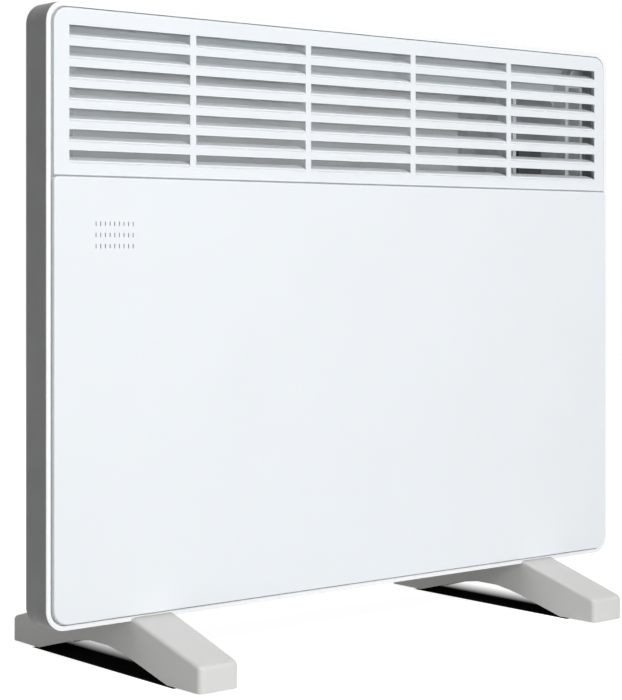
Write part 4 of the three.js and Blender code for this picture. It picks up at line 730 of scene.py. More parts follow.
# %% [markdown]
# ## The feet
#
# Each foot is one plastic moulding, open from below. Seen from the side it slopes down from the
# casing to two blunt toes, and an arch lifts its middle off the floor. A long block is bisected
# where the slope starts, its ends are drawn down and in, and the edges are rounded with bevels. A
# smaller block made the same way is taken out of it, and then the arch and the seat for the casing
# are cut.

# %% Sizes of a foot
foot_low, foot_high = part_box("foot_left")
FOOT_WIDTH, TOE_WIDTH, TOE_HEIGHT = 33.5 * MM, 31 * MM, 17.5 * MM
TOE_ROUND, FOOT_EDGE, FOOT_WALL = 4 * MM, 2.6 * MM, 2.4 * MM
SEAT_TOP = casing_floor - FIT_GAP
SEAT_REACH = (back_y - frame_low.y) / 2 + FIT_GAP
CREST = SEAT_REACH + 1.4 * MM
ARCH_REACH, ARCH_SHOULDER, ARCH_BLEND = 77 * MM, 32 * MM, 9 * MM
ARCH_HEIGHT, ARCH_DROP = 16 * MM, 3.2 * MM
foot_x = (foot_high.x - foot_low.x) / 2 + foot_low.x
TIPS = {-1: foot_high.y + 2.5 * MM, 1: foot_high.y + 4 * MM}   # front and rear, toes' full reach
print("foot is", round((TIPS[-1] + TIPS[1]) / MM), "mm long")


# %% A foot's outer or inner form
def foot_form(name, x, shrink):
    """The foot's tapered block, drawn in on every side by shrink."""
    top, bottom = foot_high.z - shrink, foot_low.z - shrink
    middle = (x, (TIPS[1] - TIPS[-1]) / 2, (top + bottom) / 2)
    size = (FOOT_WIDTH - 2 * shrink, TIPS[1] + TIPS[-1] - 2 * shrink, top - bottom)
    form = box_to_shape(name, middle, size)
    for end in (-1, 1):
        bisect_all((0, end * CREST, 0), (0, 1, 0))
    for end in (-1, 1):
        reach = TIPS[end] - shrink
        choose("VERT", lambda v: v.co.y * end > reach - 0.1 * MM)
        bpy.ops.transform.resize(value=(TOE_WIDTH / FOOT_WIDTH, 1, 1), center_override=(x, 0, 0))
        choose("VERT", lambda v: v.co.y * end > reach - 0.1 * MM and v.co.z > bottom + MM)
        bpy.ops.transform.translate(value=(0, 0, TOE_HEIGHT - foot_high.z))
    if not shrink:
        choose("EDGE", lambda e: along(e, 2) and abs(e.verts[0].co.y) > CREST + MM)
        bevel(TOE_ROUND, 6)
        choose("EDGE", lambda e: len(e.link_faces) == 2 and e.calc_face_angle() > 0.6
               and all(v.co.z > TOE_HEIGHT - MM for v in e.verts))
        bevel(FOOT_EDGE, 5)
    leave_edit()
    return form


# %% The arch
def arch_cutter(x):
    """A prism across the foot whose top is the arch."""
    size = (2 * FOOT_WIDTH, 2 * ARCH_REACH, 2 * foot_low.z)
    cutter = box_to_shape("arch", (x, 0, 0), size)
    for place in (-ARCH_SHOULDER, -ARCH_SHOULDER / 3, ARCH_SHOULDER / 3, ARCH_SHOULDER):
        bisect_all((0, place, 0), (0, 1, 0))
    lift = ARCH_HEIGHT - foot_low.z
    choose("VERT", lambda v: v.co.z > 0 and abs(v.co.y) < ARCH_SHOULDER / 2)
    bpy.ops.transform.translate(value=(0, 0, lift))
    choose("VERT", lambda v: v.co.z > 0 and near(abs(v.co.y), ARCH_SHOULDER))
    bpy.ops.transform.translate(value=(0, 0, lift - ARCH_DROP))
    choose("EDGE", lambda e: along(e, 0) and e.verts[0].co.z > foot_low.z + MM
           and near(abs(e.verts[0].co.y), ARCH_SHOULDER))
    bevel(ARCH_BLEND, 6)
    leave_edit()
    return cutter


# %% Mould the feet
RIB, RIB_Y, RIB_BELOW = 1.6 * MM, 52 * MM, 5.5 * MM
FLOOR_HALF, FLOOR_OVERLAP = FOOT_WIDTH / 2 - 1.2 * MM, 0.4 * MM
BOSS_RADIUS, BOSS_BOTTOM, BOSS_Y = 5.5 * MM, 22 * MM, 22 * MM
PAD_SEAT_Y, PAD_SEAT_Z, PAD_SEAT_HEIGHT = 93 * MM, 6.8 * MM, 7.5 * MM


def mould_foot(name, node, x):
    """A hollow foot with its webs and bosses, cut for the casing, the arch and the screws."""
    def add_web(y, half_x, half_y, bottom, top):
        join(foot, rounded_block("web", (x - half_x, y - half_y, bottom), (x + half_x, y + half_y, top)))

    foot = foot_form(name, x, 0)
    cut(foot, foot_form("hollow", x, FOOT_WALL))
    add_web(0, FLOOR_HALF, CREST, SEAT_TOP - FOOT_WALL, SEAT_TOP + FLOOR_OVERLAP)
    for y in (-RIB_Y, RIB_Y):
        add_web(y, FLOOR_HALF, RIB / 2, foot_low.z + MM, SEAT_TOP - RIB_BELOW)
    for y in (-PAD_SEAT_Y, PAD_SEAT_Y):
        add_web(y, TOE_WIDTH / 2 - MM, RIB / 2, PAD_SEAT_Z, PAD_SEAT_Z + PAD_SEAT_HEIGHT)
    for y in (-BOSS_Y, BOSS_Y):
        height = SEAT_TOP - FOOT_WALL / 2 - BOSS_BOTTOM
        join(foot, round_bar(2, (x, y, BOSS_BOTTOM + height / 2), BOSS_RADIUS, height))
    seat_low = (x - FOOT_WIDTH, -SEAT_REACH, SEAT_TOP)
    seat_high = (x + FOOT_WIDTH, SEAT_REACH, foot_high.z + MM)
    cut(foot, rounded_block("seat", seat_low, seat_high))
    cut(foot, arch_cutter(x))
    for y in (-BOSS_Y, BOSS_Y):
        cut(foot, round_bar(2, (x, y, SEAT_TOP), HOLE_RADIUS, 2 * foot_high.z))
    soften(foot, 0.45 * MM, segments=3, angle=55)
    hand_over(foot, node)


mould_foot("foot_moulding_left", "foot_left", foot_x)
mould_foot("foot_moulding_right", "foot_right", -foot_x)

# %% [markdown]
# ## Turning a piece
#
# The thermostat knob is drawn with its pointer up and then turned back to the low end of its
# travel. The rocker is drawn level and then tipped. Both are turned as whole objects about the axis
# of their joint, which the frame gives, and the turn is then applied to the mesh.

# %% Turn about a joint
def joint_place(name):
    return Vector(next(joint["pos_m"] for joint in frame["joints"] if joint["name"] == name))


def turn_piece(piece, axis, angle, centre):
    """Turns a piece about a line along X, Y or Z through a centre."""
    pick_only(piece)
    piece.location = -centre
    settle()
    piece.rotation_euler[axis] = angle
    settle()
    piece.location = centre
    settle()


dial_place = joint_place("thermostat_turn")
rocker_place = joint_place("switch_rock")
print("dial turns about", [round(v / MM, 1) for v in dial_place])

# %% [markdown]
# ## The thermostat knob
#
# The knob is a short fluted grip over a plain skirt. Its flutes are not modelled one by one: a round
# bar is set into the grip, eleven copies are spun about the knob's axis, and all twelve are cut away
# together. The crown of the grip is rolled with a bevel first.

# %% Knob
KNOB_RADIUS, GRIP_RADIUS, SKIRT_HEIGHT = 17 * MM, 14.6 * MM, 2.6 * MM
KNOB_HEIGHT, CROWN = 13.5 * MM, 1.8 * MM
FLUTES, FLUTE_RADIUS, FLUTE_DEPTH = 12, 4.2 * MM, 0.9 * MM
BORE_RADIUS, BORE_DEPTH = 3.3 * MM, 9.3 * MM
SKIRT_ROLL, FLUTES_ABOVE_SKIRT = 1.1 * MM, 0.5 * MM
KNOB_REST = math.radians(140)


def rolled_bar(axis, start, radius, length, roll, segments=5, vertices=96):
    """A round bar from a place on, with the edge of its far end rolled."""
    place = Vector(start)
    place[axis] += length / 2
    bar = round_bar(axis, place, radius, length, vertices)
    edit()
    end = start[axis] + length
    choose("EDGE", lambda e: all(near(v.co[axis], end, 0.01 * MM) for v in e.verts))
    bevel(roll, segments)
    leave_edit()
    return bar


def spread_round(count, centre):
    """Spreads copies of the active piece evenly round an axis along X."""
    edit()
    choose_all()
    whole = math.tau * (1 - 1 / count)
    bpy.ops.mesh.spin(steps=count - 1, angle=whole, dupli=True, center=centre, axis=(1, 0, 0))
    leave_edit()


knob = rolled_bar(0, dial_place + Vector((MM, 0, 0)), GRIP_RADIUS, KNOB_HEIGHT - MM, CROWN)
flute_out = GRIP_RADIUS + FLUTE_RADIUS - FLUTE_DEPTH
flute_place = dial_place + Vector((SKIRT_HEIGHT + FLUTES_ABOVE_SKIRT, 0, flute_out))
flutes = rolled_bar(0, flute_place, FLUTE_RADIUS, 2 * KNOB_HEIGHT, 0.1 * MM, segments=1, vertices=40)
spread_round(FLUTES, dial_place)
cut(knob, flutes)
join(knob, rolled_bar(0, dial_place, KNOB_RADIUS, SKIRT_HEIGHT, SKIRT_ROLL))
bore_place = dial_place + Vector((BORE_DEPTH / 2 - MM, 0, 0))
cut(knob, round_bar(0, bore_place, BORE_RADIUS, BORE_DEPTH + 2 * MM))
soften(knob, 0.25 * MM, segments=3, angle=35)
knob.name = "fluted_knob"
turn_piece(knob, 0, KNOB_REST, dial_place)
hand_over(knob, "thermostat_knob", "thermostat_dial")

# %% Pointer
POINTER_FROM, POINTER_TO, POINTER_WIDTH = 3 * MM, 12.2 * MM, 1.6 * MM
POINTER_PROUD, POINTER_SUNK, POINTER_ROUND = 0.45 * MM, 0.6 * MM, 0.7 * MM

pointer_low = dial_place + Vector((KNOB_HEIGHT - POINTER_SUNK, -POINTER_WIDTH / 2, POINTER_FROM))
pointer_high = dial_place + Vector((KNOB_HEIGHT + POINTER_PROUD, POINTER_WIDTH / 2, POINTER_TO))
pointer = rounded_block("knob_pointer", pointer_low, pointer_high)
edit()
choose("EDGE", lambda e: along(e, 0))
bevel(POINTER_ROUND, 4)
leave_edit()
soften(pointer, 0.15 * MM)
turn_piece(pointer, 0, KNOB_REST, dial_place)
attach(pointer, "thermostat_dial")
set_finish(pointer, "white_lip")

# %% [markdown]
# ## The power switch
#
# The rocker key is a slice of a round bar: the bar's front is bisected flat, the new face is split
# across its middle, and that line is pushed in so that the two halves of the key lean together. The
# usual bar and ring for on and off are printed on the halves.

# %% Rocker key
KEY_RADIUS, KEY_WIDTH, KEY_FACE, KEY_DIP = 9.4 * MM, 10.8 * MM, 4.6 * MM, 1.2 * MM
KEY_TAIL = math.radians(24)
KEY_TILT = math.radians(8.5)
MARK_HEIGHT = 5 * MM            # middle of a mark above or below the key's axis
MARK_SIZE, MARK_LINE, MARK_PROUD = 1.5 * MM, 0.45 * MM, 0.06 * MM

key = round_bar(1, rocker_place, KEY_RADIUS, KEY_WIDTH, 64)
key.name = "rocker_key"
edit()
for direction, distance in ((1, KEY_FACE), (-1, KEY_RADIUS * math.sin(KEY_TAIL))):
    cut_place = rocker_place + Vector((direction * distance, 0, 0))
    bisect_all(cut_place, (direction, 0, 0), clear_outer=True, use_fill=True)
bisect_all(rocker_place, (0, 0, 1))
choose("EDGE", lambda e: along(e, 1) and near(e.verts[0].co.z, rocker_place.z)
       and e.verts[0].co.x > rocker_place.x + KEY_FACE / 2)
bpy.ops.transform.translate(value=(-KEY_DIP, 0, 0))
leave_edit()
soften(key, 0.5 * MM, segments=4, angle=12)
turn_piece(key, 1, KEY_TILT, rocker_place)
hand_over(key, "switch_key", "rocker")

# %% On and off marks
half_face = KEY_RADIUS * math.cos(math.asin(KEY_FACE / KEY_RADIUS))
face_slope = math.atan(KEY_DIP / half_face)
mark_x = rocker_place.x + KEY_FACE - KEY_DIP * (1 - MARK_HEIGHT / half_face) - MARK_LINE / 2 + MARK_PROUD

on_place = Vector((mark_x, rocker_place.y, rocker_place.z + MARK_HEIGHT))
on_half = Vector((MARK_LINE / 2, MARK_LINE / 2, MARK_SIZE))
on_mark = rounded_block("switch_on_mark", on_place - on_half, on_place + on_half)
turn_piece(on_mark, 1, face_slope, on_place)
off_place = Vector((mark_x, rocker_place.y, rocker_place.z - MARK_HEIGHT))
off_mark = round_bar(0, off_place, MARK_SIZE, MARK_LINE, 40)
cut(off_mark, round_bar(0, off_place, MARK_SIZE - MARK_LINE, 2 * MARK_LINE, 40))
off_mark.name = "switch_off_mark"
turn_piece(off_mark, 1, -face_slope, off_place)
for mark in (on_mark, off_mark):
    soften(mark, 0.03 * MM, segments=1)
    turn_piece(mark, 1, KEY_TILT, rocker_place)
    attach(mark, "rocker")
    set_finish(mark, "white_lip")

# %% [markdown]
# ## The cable gland
#
# The gland is the round bush in the cover's side that a cord would pass through. Its barrel and its
# collar are round bars, and the collar's nose is extruded and drawn in. Fine flutes round the nose
# give the fingers a hold.

# %% Gland
GLAND_BARREL, GLAND_HEAD, GLAND_NOSE = 8 * MM, 11 * MM, 8 * MM
GLAND_BRIM, GLAND_BORE, GLAND_STEP = 2.4 * MM, 4.2 * MM, 0.9 * MM
NOSE_FLUTES, NOSE_FLUTE_RADIUS, NOSE_FLUTE_SUNK = 18, 0.9 * MM, 0.6 * MM
FLUTES_ABOVE_BRIM = 0.3 * MM

gland_low, gland_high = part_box("cable_gland")
gland_place = middle_of("cable_gland")
collar_x = body_high.x + FIT_GAP


def on_gland_axis(x, above=0):
    """A place on the gland's axis, or straight above it."""
    return Vector((x, gland_place.y, gland_place.z + above))


gland = round_bar(0, on_gland_axis(collar_x + GLAND_BRIM / 2), GLAND_HEAD, GLAND_BRIM, 64)
gland.name = "gland_bush"
edit()
choose("FACE", lambda f: f.normal.x > 0.99)
bpy.ops.mesh.inset(thickness=GLAND_STEP, depth=0)
nose_length = gland_high.x - collar_x - GLAND_BRIM
extrude((nose_length, 0, 0))
draw_in = GLAND_NOSE / (GLAND_HEAD - GLAND_STEP)
bpy.ops.transform.resize(value=(1, draw_in, draw_in), center_override=on_gland_axis(gland_high.x))
leave_edit()
flute_start = on_gland_axis(collar_x + GLAND_BRIM + FLUTES_ABOVE_BRIM, GLAND_HEAD - NOSE_FLUTE_SUNK)
nose_flutes = rolled_bar(0, flute_start, NOSE_FLUTE_RADIUS, 2 * nose_length, 0.05 * MM, 1, 16)
spread_round(NOSE_FLUTES, gland_place)
cut(gland, nose_flutes)
barrel_length = collar_x + MM - gland_low.x
barrel_place = on_gland_axis(gland_low.x + barrel_length / 2)
join(gland, round_bar(0, barrel_place, GLAND_BARREL, barrel_length, 48))
cut(gland, round_bar(0, gland_place, GLAND_BORE, 40 * MM, 48))
soften(gland, 0.3 * MM, segments=3, angle=35)
hand_over(gland, "cable_gland")

# %% [markdown]
# ## The screws
#
# All screws of the heater are the same pan head with a cross recess, in a few lengths. One is
# modelled upright with the top of its head at the origin. Each place gets a copy with its own mesh,
# whose tip is drawn to the right length before it is turned and set.

# %% One screw
HEAD_RADIUS, HEAD_HEIGHT, SHANK_RADIUS, TIP_LENGTH = 4 * MM, 2.2 * MM, 2 * MM, 1.2 * MM
RECESS_LENGTH, RECESS_WIDTH, RECESS_DEPTH = 4.4 * MM, 0.9 * MM, 1.5 * MM
MASTER_LENGTH, HEAD_ROLL, TIP_SHARE = 11.2 * MM, 1.5 * MM, 0.45

master = rolled_bar(2, (0, 0, -HEAD_HEIGHT), HEAD_RADIUS, HEAD_HEIGHT, HEAD_ROLL, 4, 32)
master.name = "screw_pattern"
edit()
choose("FACE", lambda f: f.normal.z < -0.99)
bpy.ops.mesh.inset(thickness=HEAD_RADIUS - SHANK_RADIUS, depth=0)
extrude((0, 0, HEAD_HEIGHT + TIP_LENGTH - MASTER_LENGTH))
extrude((0, 0, -TIP_LENGTH))
bpy.ops.transform.resize(value=(TIP_SHARE, TIP_SHARE, 1), center_override=(0, 0, -MASTER_LENGTH))
leave_edit()
for half in (Vector((RECESS_LENGTH, RECESS_WIDTH, 2 * RECESS_DEPTH)) / 2,
             Vector((RECESS_WIDTH, RECESS_LENGTH, 2 * RECESS_DEPTH)) / 2):
    cut(master, rounded_block("recess", -half, half))
soften(master, 0.12 * MM, angle=45)


# %% Set the screws
def set_screw(node, axis, turn, head_first=True):
    """Copies the screw to a node's box. Its head is at the low end of the box, or at the high end."""
    low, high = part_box(node)
    length = high[axis] - low[axis]
    pick_only(master)
    bpy.ops.object.duplicate()
    screw = bpy.context.object
    screw.name = node + "_cross_head"
    edit()
    choose("VERT", lambda v: v.co.z < -MASTER_LENGTH + TIP_LENGTH + 0.3 * MM)
    bpy.ops.transform.translate(value=(0, 0, MASTER_LENGTH - length))
    leave_edit()
    place = (low + high) / 2
    place[axis] = low[axis] if head_first else high[axis]
    pick_only(screw)
    screw.rotation_euler = (turn, 0, 0)
    screw.location = place
    settle()
    hand_over(screw, node)


for number in (1, 2, 3, 4):
    set_screw(f"frame_screw_{number}", 1, RIGHT_ANGLE)
    set_screw(f"foot_screw_{number}", 2, math.pi)
for number in range(1, 7):
    set_screw(f"cover_screw_{number}", 1, -RIGHT_ANGLE, head_first=False)
set_screw("earth_screw", 1, RIGHT_ANGLE)
bpy.data.meshes.remove(master.data)

# %% [markdown]
# ## Rubber pads
#
# A soft pad is pressed into each toe from below. It is a low block with round corners and rolled
# edges, and three shallow grooves run across the face that grips the floor.

# %% Pads
PAD_CORNER, PAD_ROLL = 3 * MM, 0.7 * MM
GROOVES, GROOVE_RADIUS = 3, 0.7 * MM

for node in ("foot_pad_left_front", "foot_pad_left_rear", "foot_pad_right_front", "foot_pad_right_rear"):
    pad_low, pad_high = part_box(node)
    pad = rounded_block(node + "_rubber", pad_low, pad_high)
    edit()
    choose("EDGE", lambda e: along(e, 2))
    bevel(PAD_CORNER, 6)
    leave_edit()
    spacing = (pad_high.y - pad_low.y) / (GROOVES + 1)
    for groove in range(GROOVES):
        groove_place = ((pad_low.x + pad_high.x) / 2, pad_low.y + spacing * (groove + 1), 0)
        cut(pad, round_bar(0, groove_place, GROOVE_RADIUS, 2 * spacing * GROOVES, 16))
    soften(pad, PAD_ROLL, segments=3, angle=50)
    hand_over(pad, node)

# %% [markdown]
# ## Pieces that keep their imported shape
#
# The brackets, the heating element and the electrical parts have the right shape already. Each gets
# a copy whose loose triangles are joined, whose flat faces are made whole again, and whose edges are
# eased by a fine bevel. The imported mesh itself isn't touched. Wires and tubes have no edges to ease,
# so they get one level of subdivision that makes their few sides round.

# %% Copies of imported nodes
def joined_copy(node, name):
    """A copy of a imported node's mesh with its loose triangles joined."""
    clear_selection()
    piece = bpy.data.objects.new(name, frame["nodes"][node].data.copy())
    piece.data.materials.clear()
    bpy.context.scene.collection.objects.link(piece)
    pick_only(piece)
    bpy.ops.mesh.customdata_custom_splitnormals_clear()
    edit()
    merge_doubles(0.002 * MM)
    leave_edit()
    return piece


def eased_copy(node, name, width, body="casing"):
    piece = joined_copy(node, name)
    edit()
    choose_all()
    bpy.ops.mesh.dissolve_limited(angle_limit=math.radians(0.5))
    leave_edit()
    soften(piece, width)
    hand_over(piece, node, body)


EASED = {
    "heating_element": ("element_profile", 0.15), "heat_shield": ("folded_shield", 0.15),
    "partition_plate": ("folded_partition", 0.15), "element_bracket": ("folded_bracket", 0.15),
    "control_plate": ("control_panel", 0.5),
    "switch_body": ("switch_housing", 0.25), "thermostat_body": ("thermostat_case", 0.4),
    "terminal_block": ("ceramic_block", 0.35), "thermal_cutout": ("cutout_disc", 0.2),
    "sensor_clip": ("spring_clip", 0.12), "gland_nut": ("hexagon_nut", 0.4),
    "element_rod": ("element_core", 0.2), "element_bush_left": ("insulator_left", 0.3),
    "element_bush_right": ("insulator_right", 0.3), "sensor_bulb": ("bulb", 0.15),
}
for node, (name, width) in EASED.items():
    eased_copy(node, name, width * MM)
eased_copy("thermostat_shaft", "dial_shaft", 0.15 * MM, "thermostat_dial")

# %% [markdown]
# The bracket that carries the controls has a wide front flange with a window in it. Its two bright
# uprights show through the right end of the grille. A plate with the window cut out is joined to the
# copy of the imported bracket.

# %% The control bracket and its window
FLANGE_RIGHT, FLANGE_BOTTOM, FLANGE_TOP = 246.2 * MM, 327 * MM, 413.4 * MM
UPRIGHT_LEFT, UPRIGHT_RIGHT, CROSSPIECE, OVERLAP = 3.5 * MM, 2.4 * MM, 5.5 * MM, 0.05 * MM
WINDOW_ROUND = 2 * MM

bracket = joined_copy("control_bracket", "folded_control_bracket")
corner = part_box("control_bracket")[0]
rim_low = Vector((corner.x + OVERLAP, corner.y + OVERLAP, FLANGE_BOTTOM))
rim_high = Vector((FLANGE_RIGHT, corner.y + 1.5 * SHEET, FLANGE_TOP))
rim = rounded_block("rim", rim_low, rim_high)
hole_low = rim_low + Vector((UPRIGHT_LEFT, -SHEET, CROSSPIECE))
hole_high = rim_high - Vector((UPRIGHT_RIGHT, -SHEET, CROSSPIECE))
cut(rim, rounded_block("rim_window", hole_low, hole_high, WINDOW_ROUND, WINDOW_ROUND))
join(bracket, rim)
soften(bracket, 0.15 * MM)
hand_over(bracket, "control_bracket")

# %% Wires and tubes
ROUND = {
    "sensor_capillary": "capillary_tube", "wire_block_to_switch": "switch_feed",
    "wire_switch_to_thermostat": "thermostat_feed", "wire_thermostat_to_cutout": "cutout_feed",
    "wire_cutout_to_element": "element_feed", "wire_element_to_block": "element_return",
}
for node, name in ROUND.items():
    piece = joined_copy(node, name)
    apply_modifier(piece, "SUBSURF", levels=1, render_levels=1)
    pick_only(piece)
    bpy.ops.object.shade_smooth_by_angle(angle=math.radians(60))
    hand_over(piece, node)

# %% [markdown]
# ## Finishes
#
# Every finish is built from a few kinds of nodes. The pattern is a noise in object coordinates, so
# it stays fixed to the piece and has a real size: a scale of 400 makes grains of about 2.5 mm. A
# noise is spread between two values, tints a colour between two shades, or lifts the surface as a
# bump of some hundredths of a millimetre.

# %% Node helpers
def add_node(tree, kind, **values):
    """Adds a shader node and sets its sockets by name, with _ standing for a space."""
    node = tree.nodes.new("ShaderNode" + kind)
    for name, value in values.items():
        node.inputs[name.replace("_", " ")].default_value = value
    return node


def new_finish(name, **values):
    """A new material with its shader's plain sockets set, and the material's node tree."""
    finish = bpy.data.materials.new(name)
    finish.use_nodes = True
    for socket, value in values.items():
        finish.node_tree.nodes["Principled BSDF"].inputs[socket.replace("_", " ")].default_value = value
    return finish, finish.node_tree


def feed(tree, output, name):
    """Links an output to a socket of the material's main shader."""
    tree.links.new(output, tree.nodes["Principled BSDF"].inputs[name])


def axes_of(tree):
    """The X, Y and Z of a place on the piece."""
    axes = add_node(tree, "SeparateXYZ")
    tree.links.new(add_node(tree, "TexCoord").outputs["Object"], axes.inputs["Vector"])
    return axes.outputs


def grain(tree, scale, detail=2.0, stretch=(1, 1, 1)):
    """Noise that sits still on the piece, drawn out along an axis whose stretch is below 1."""
    place = add_node(tree, "TexCoord")
    mapping = add_node(tree, "Mapping", Scale=stretch)
    texture = add_node(tree, "TexNoise", Scale=scale, Detail=detail)
    tree.links.new(place.outputs["Object"], mapping.inputs["Vector"])
    tree.links.new(mapping.outputs["Vector"], texture.inputs["Vector"])
    return texture.outputs[0]


def spread(tree, value, low, high, start=0.32, end=0.68):
    """Spreads the middle part of a pattern over the range from low to high."""
    node = add_node(tree, "MapRange", From_Min=start, From_Max=end, To_Min=low, To_Max=high)
    tree.links.new(value, node.inputs["Value"])
    return node.outputs["Result"]


def maths(tree, operation, first, second=0.0):
    """A Math node. Its second socket takes a number or the output of another node."""
    node = add_node(tree, "Math")
    node.operation = operation
    tree.links.new(first, node.inputs[0])
    if isinstance(second, float):
        node.inputs[1].default_value = second
    else:
        tree.links.new(second, node.inputs[1])
    return node.outputs[0]


def tinted(tree, value, first, second):
    """A colour between two shades, each a plain colour or the output of another node."""
    node = tree.nodes.new("ShaderNodeMix")
    node.data_type = "RGBA"
    shades = [socket for socket in node.inputs if socket.type == "RGBA"]
    for socket, shade in zip(shades, (first, second)):
        if isinstance(shade, tuple):
            socket.default_value = (*shade, 1)
        else:
            tree.links.new(shade, socket)
    tree.links.new(value, node.inputs["Factor"])
    return next(socket for socket in node.outputs if socket.type == "RGBA")


def lifted(tree, height, depth, under=None):
    """Turns a pattern into relief of a depth in metres, laid over another relief if one is given."""
    node = add_node(tree, "Bump", Strength=1.0, Distance=depth)
    tree.links.new(height, node.inputs["Height"])
    if under:
        tree.links.new(under, node.inputs["Normal"])
    return node.outputs["Normal"]


def shaded(colour, share):
    return tuple(part * share for part in colour)


# %% [markdown]
# Powder coat melts into a skin that is never quite flat. It has a soft ripple of a few millimetres,
# called orange peel, and a finer one on top. Clouds of some centimetres keep the large faces from
# being one flat colour. The three coats of this heater differ in colour, in gloss and in how deep
# the ripple is: the white ones are smooth, and the grey one is a coarse matt coat. Inside the
# casing the faces that look inwards are paler, and they grow paler with the depth, so that the back
# wall is the palest. This is partly a thin overspray on the galvanised sheet and partly painted
# light, which stands in for the light that falls into the casing through the louvres.

# %% Powder coats
FRONT_MIDDLE = (0, frame_low.y, (frame_low.z + frame_high.z) / 2)


def looks_inwards(tree):
    """1 on the faces that look towards the middle of the casing's open front, and 0 on the others."""
    place = add_node(tree, "TexCoord").outputs
    outwards, facing = add_node(tree, "VectorMath"), add_node(tree, "VectorMath")
    outwards.operation, facing.operation = "SUBTRACT", "DOT_PRODUCT"
    outwards.inputs[1].default_value = FRONT_MIDDLE
    tree.links.new(place["Object"], outwards.inputs[0])
    tree.links.new(outwards.outputs["Vector"], facing.inputs[0])
    tree.links.new(place["Normal"], facing.inputs[1])
    return spread(tree, facing.outputs["Value"], 1, 0, -2 * MM, 0)


def powder_coat(name, colour, roughness, ripple, cloud, inside=None):
    """A coat with a ripple in metres and clouds of a share of its colour."""
    finish, tree = new_finish(name, IOR=1.48)
    clouds = spread(tree, grain(tree, 11, 4), 0, 1)
    coat = tinted(tree, clouds, shaded(colour, cloud), colour)
    # The faces that look inwards get a paler colour, palest on the back wall: partly thin overspray,
    # partly painted light.
    if inside:
        axes = axes_of(tree)
        pale = tinted(tree, spread(tree, axes["Y"], 0, 1, shell_high.y, back_y), *inside)
        aside = maths(tree, "ABSOLUTE", axes["X"])
        reached = spread(tree, aside, 1, SIDE_SHARE, cover_high.x + MM, cover_high.x + 2 * MM)
        coat = tinted(tree, maths(tree, "MULTIPLY", looks_inwards(tree), reached), coat, pale)
    feed(tree, coat, "Base Color")
    feed(tree, spread(tree, grain(tree, 70, 3), roughness - 0.05, roughness + 0.05), "Roughness")
    slow = lifted(tree, grain(tree, 260), ripple)
    feed(tree, lifted(tree, grain(tree, 1500), ripple / 3, slow), "Normal")
    return finish


WHITE = (0.82, 0.855, 0.885)
LIP_WHITE = (0.92, 0.93, 0.94)
GREY = (0.225, 0.23, 0.227)
# Inside colours near the front and on the back wall: partly overspray on bare sheet, partly painted
# light.
OVERSPRAY_WITH_PAINTED_LIGHT, BARE_SHEET_WITH_PAINTED_LIGHT = (0.62, 0.66, 0.68), (0.93, 0.95, 0.96)
SIDE_SHARE = 0.8                # how far the shell's side walls are as pale as the rest

finish_of = {
    "white_enamel": powder_coat("white_powder_coat", WHITE, 0.42, 9e-6, 0.985),
    "white_lip": powder_coat("lip_powder_coat", LIP_WHITE, 0.38, 6e-6, 0.99),
    "grey_enamel": powder_coat("grey_powder_coat", GREY, 0.5, 16e-6, 0.93, (OVERSPRAY_WITH_PAINTED_LIGHT, BARE_SHEET_WITH_PAINTED_LIGHT)),
}

# %% [markdown]
# The plastics come from moulds with a spark-eroded skin, which leaves fine even pits. They are
# deeper on the feet, which should not show scratches, and almost absent on the glossy switch. Faint
# streaks in the colour follow the flow of the plastic along the piece. Rubber and silicone sleeves
# take the same nodes with other numbers, and so does the unglazed ceramic of the insulators.

# %% Plastics, rubber and ceramic
def moulded(name, colour, roughness, pit, scale=1100, streak=(1, 1, 1), shade=0.96):
    """A moulded skin with pits of a depth in metres."""
    finish, tree = new_finish(name, IOR=1.5)
    flow = spread(tree, grain(tree, 24, 3, streak), 0, 1)
    feed(tree, tinted(tree, flow, shaded(colour, shade), shaded(colour, 1.02)), "Base Color")
    pits = grain(tree, scale)
    feed(tree, spread(tree, pits, roughness - 0.06, roughness + 0.06), "Roughness")
    feed(tree, lifted(tree, pits, pit), "Normal")
    return finish


finish_of.update({
    "foot_plastic": moulded("foot_moulding", (0.66, 0.655, 0.64), 0.5, 16e-6, 1000, (1, 0.25, 1)),
    "knob_plastic": moulded("knob_moulding", (0.62, 0.63, 0.63), 0.42, 8e-6),
    "dark_plastic": moulded("dark_moulding", (0.11, 0.115, 0.12), 0.5, 12e-6),
    "black_plastic": moulded("black_moulding", (0.02, 0.02, 0.022), 0.3, 4e-6),
    "rubber": moulded("black_rubber", (0.075, 0.075, 0.075), 0.82, 30e-6, 600, shade=0.85),
    "wire_brown": moulded("brown_sleeve", (0.17, 0.08, 0.04), 0.45, 6e-6, 700),
    "wire_blue": moulded("blue_sleeve", (0.05, 0.13, 0.32), 0.45, 6e-6, 700),
    "ceramic": moulded("unglazed_ceramic", (0.8, 0.76, 0.66), 0.7, 20e-6, 420, shade=0.9),
})

# %% [markdown]
# Bare metals need a pattern in their gloss more than in their colour. Galvanised sheet shows the
# spangle of its zinc crystals, which is a cell pattern. Drawn and extruded pieces carry fine lines
# along their length, and these are the same noise drawn out along X, the way of the heater's rod.

# %% Bare metals
def galvanised(name, colour):
    finish, tree = new_finish(name, Metallic=0.15)
    place = add_node(tree, "TexCoord")
    crystals = add_node(tree, "TexVoronoi", Scale=95.0)
    facet = add_node(tree, "SeparateColor")
    tree.links.new(place.outputs["Object"], crystals.inputs["Vector"])
    tree.links.new(crystals.outputs["Color"], facet.inputs["Color"])
    zinc = tinted(tree, facet.outputs["Red"], shaded(colour, 0.84), shaded(colour, 1.08))
    feed(tree, zinc, "Base Color")
    feed(tree, spread(tree, facet.outputs["Green"], 0.34, 0.52, 0, 1), "Roughness")
    feed(tree, lifted(tree, grain(tree, 500), 5e-6), "Normal")
    return finish


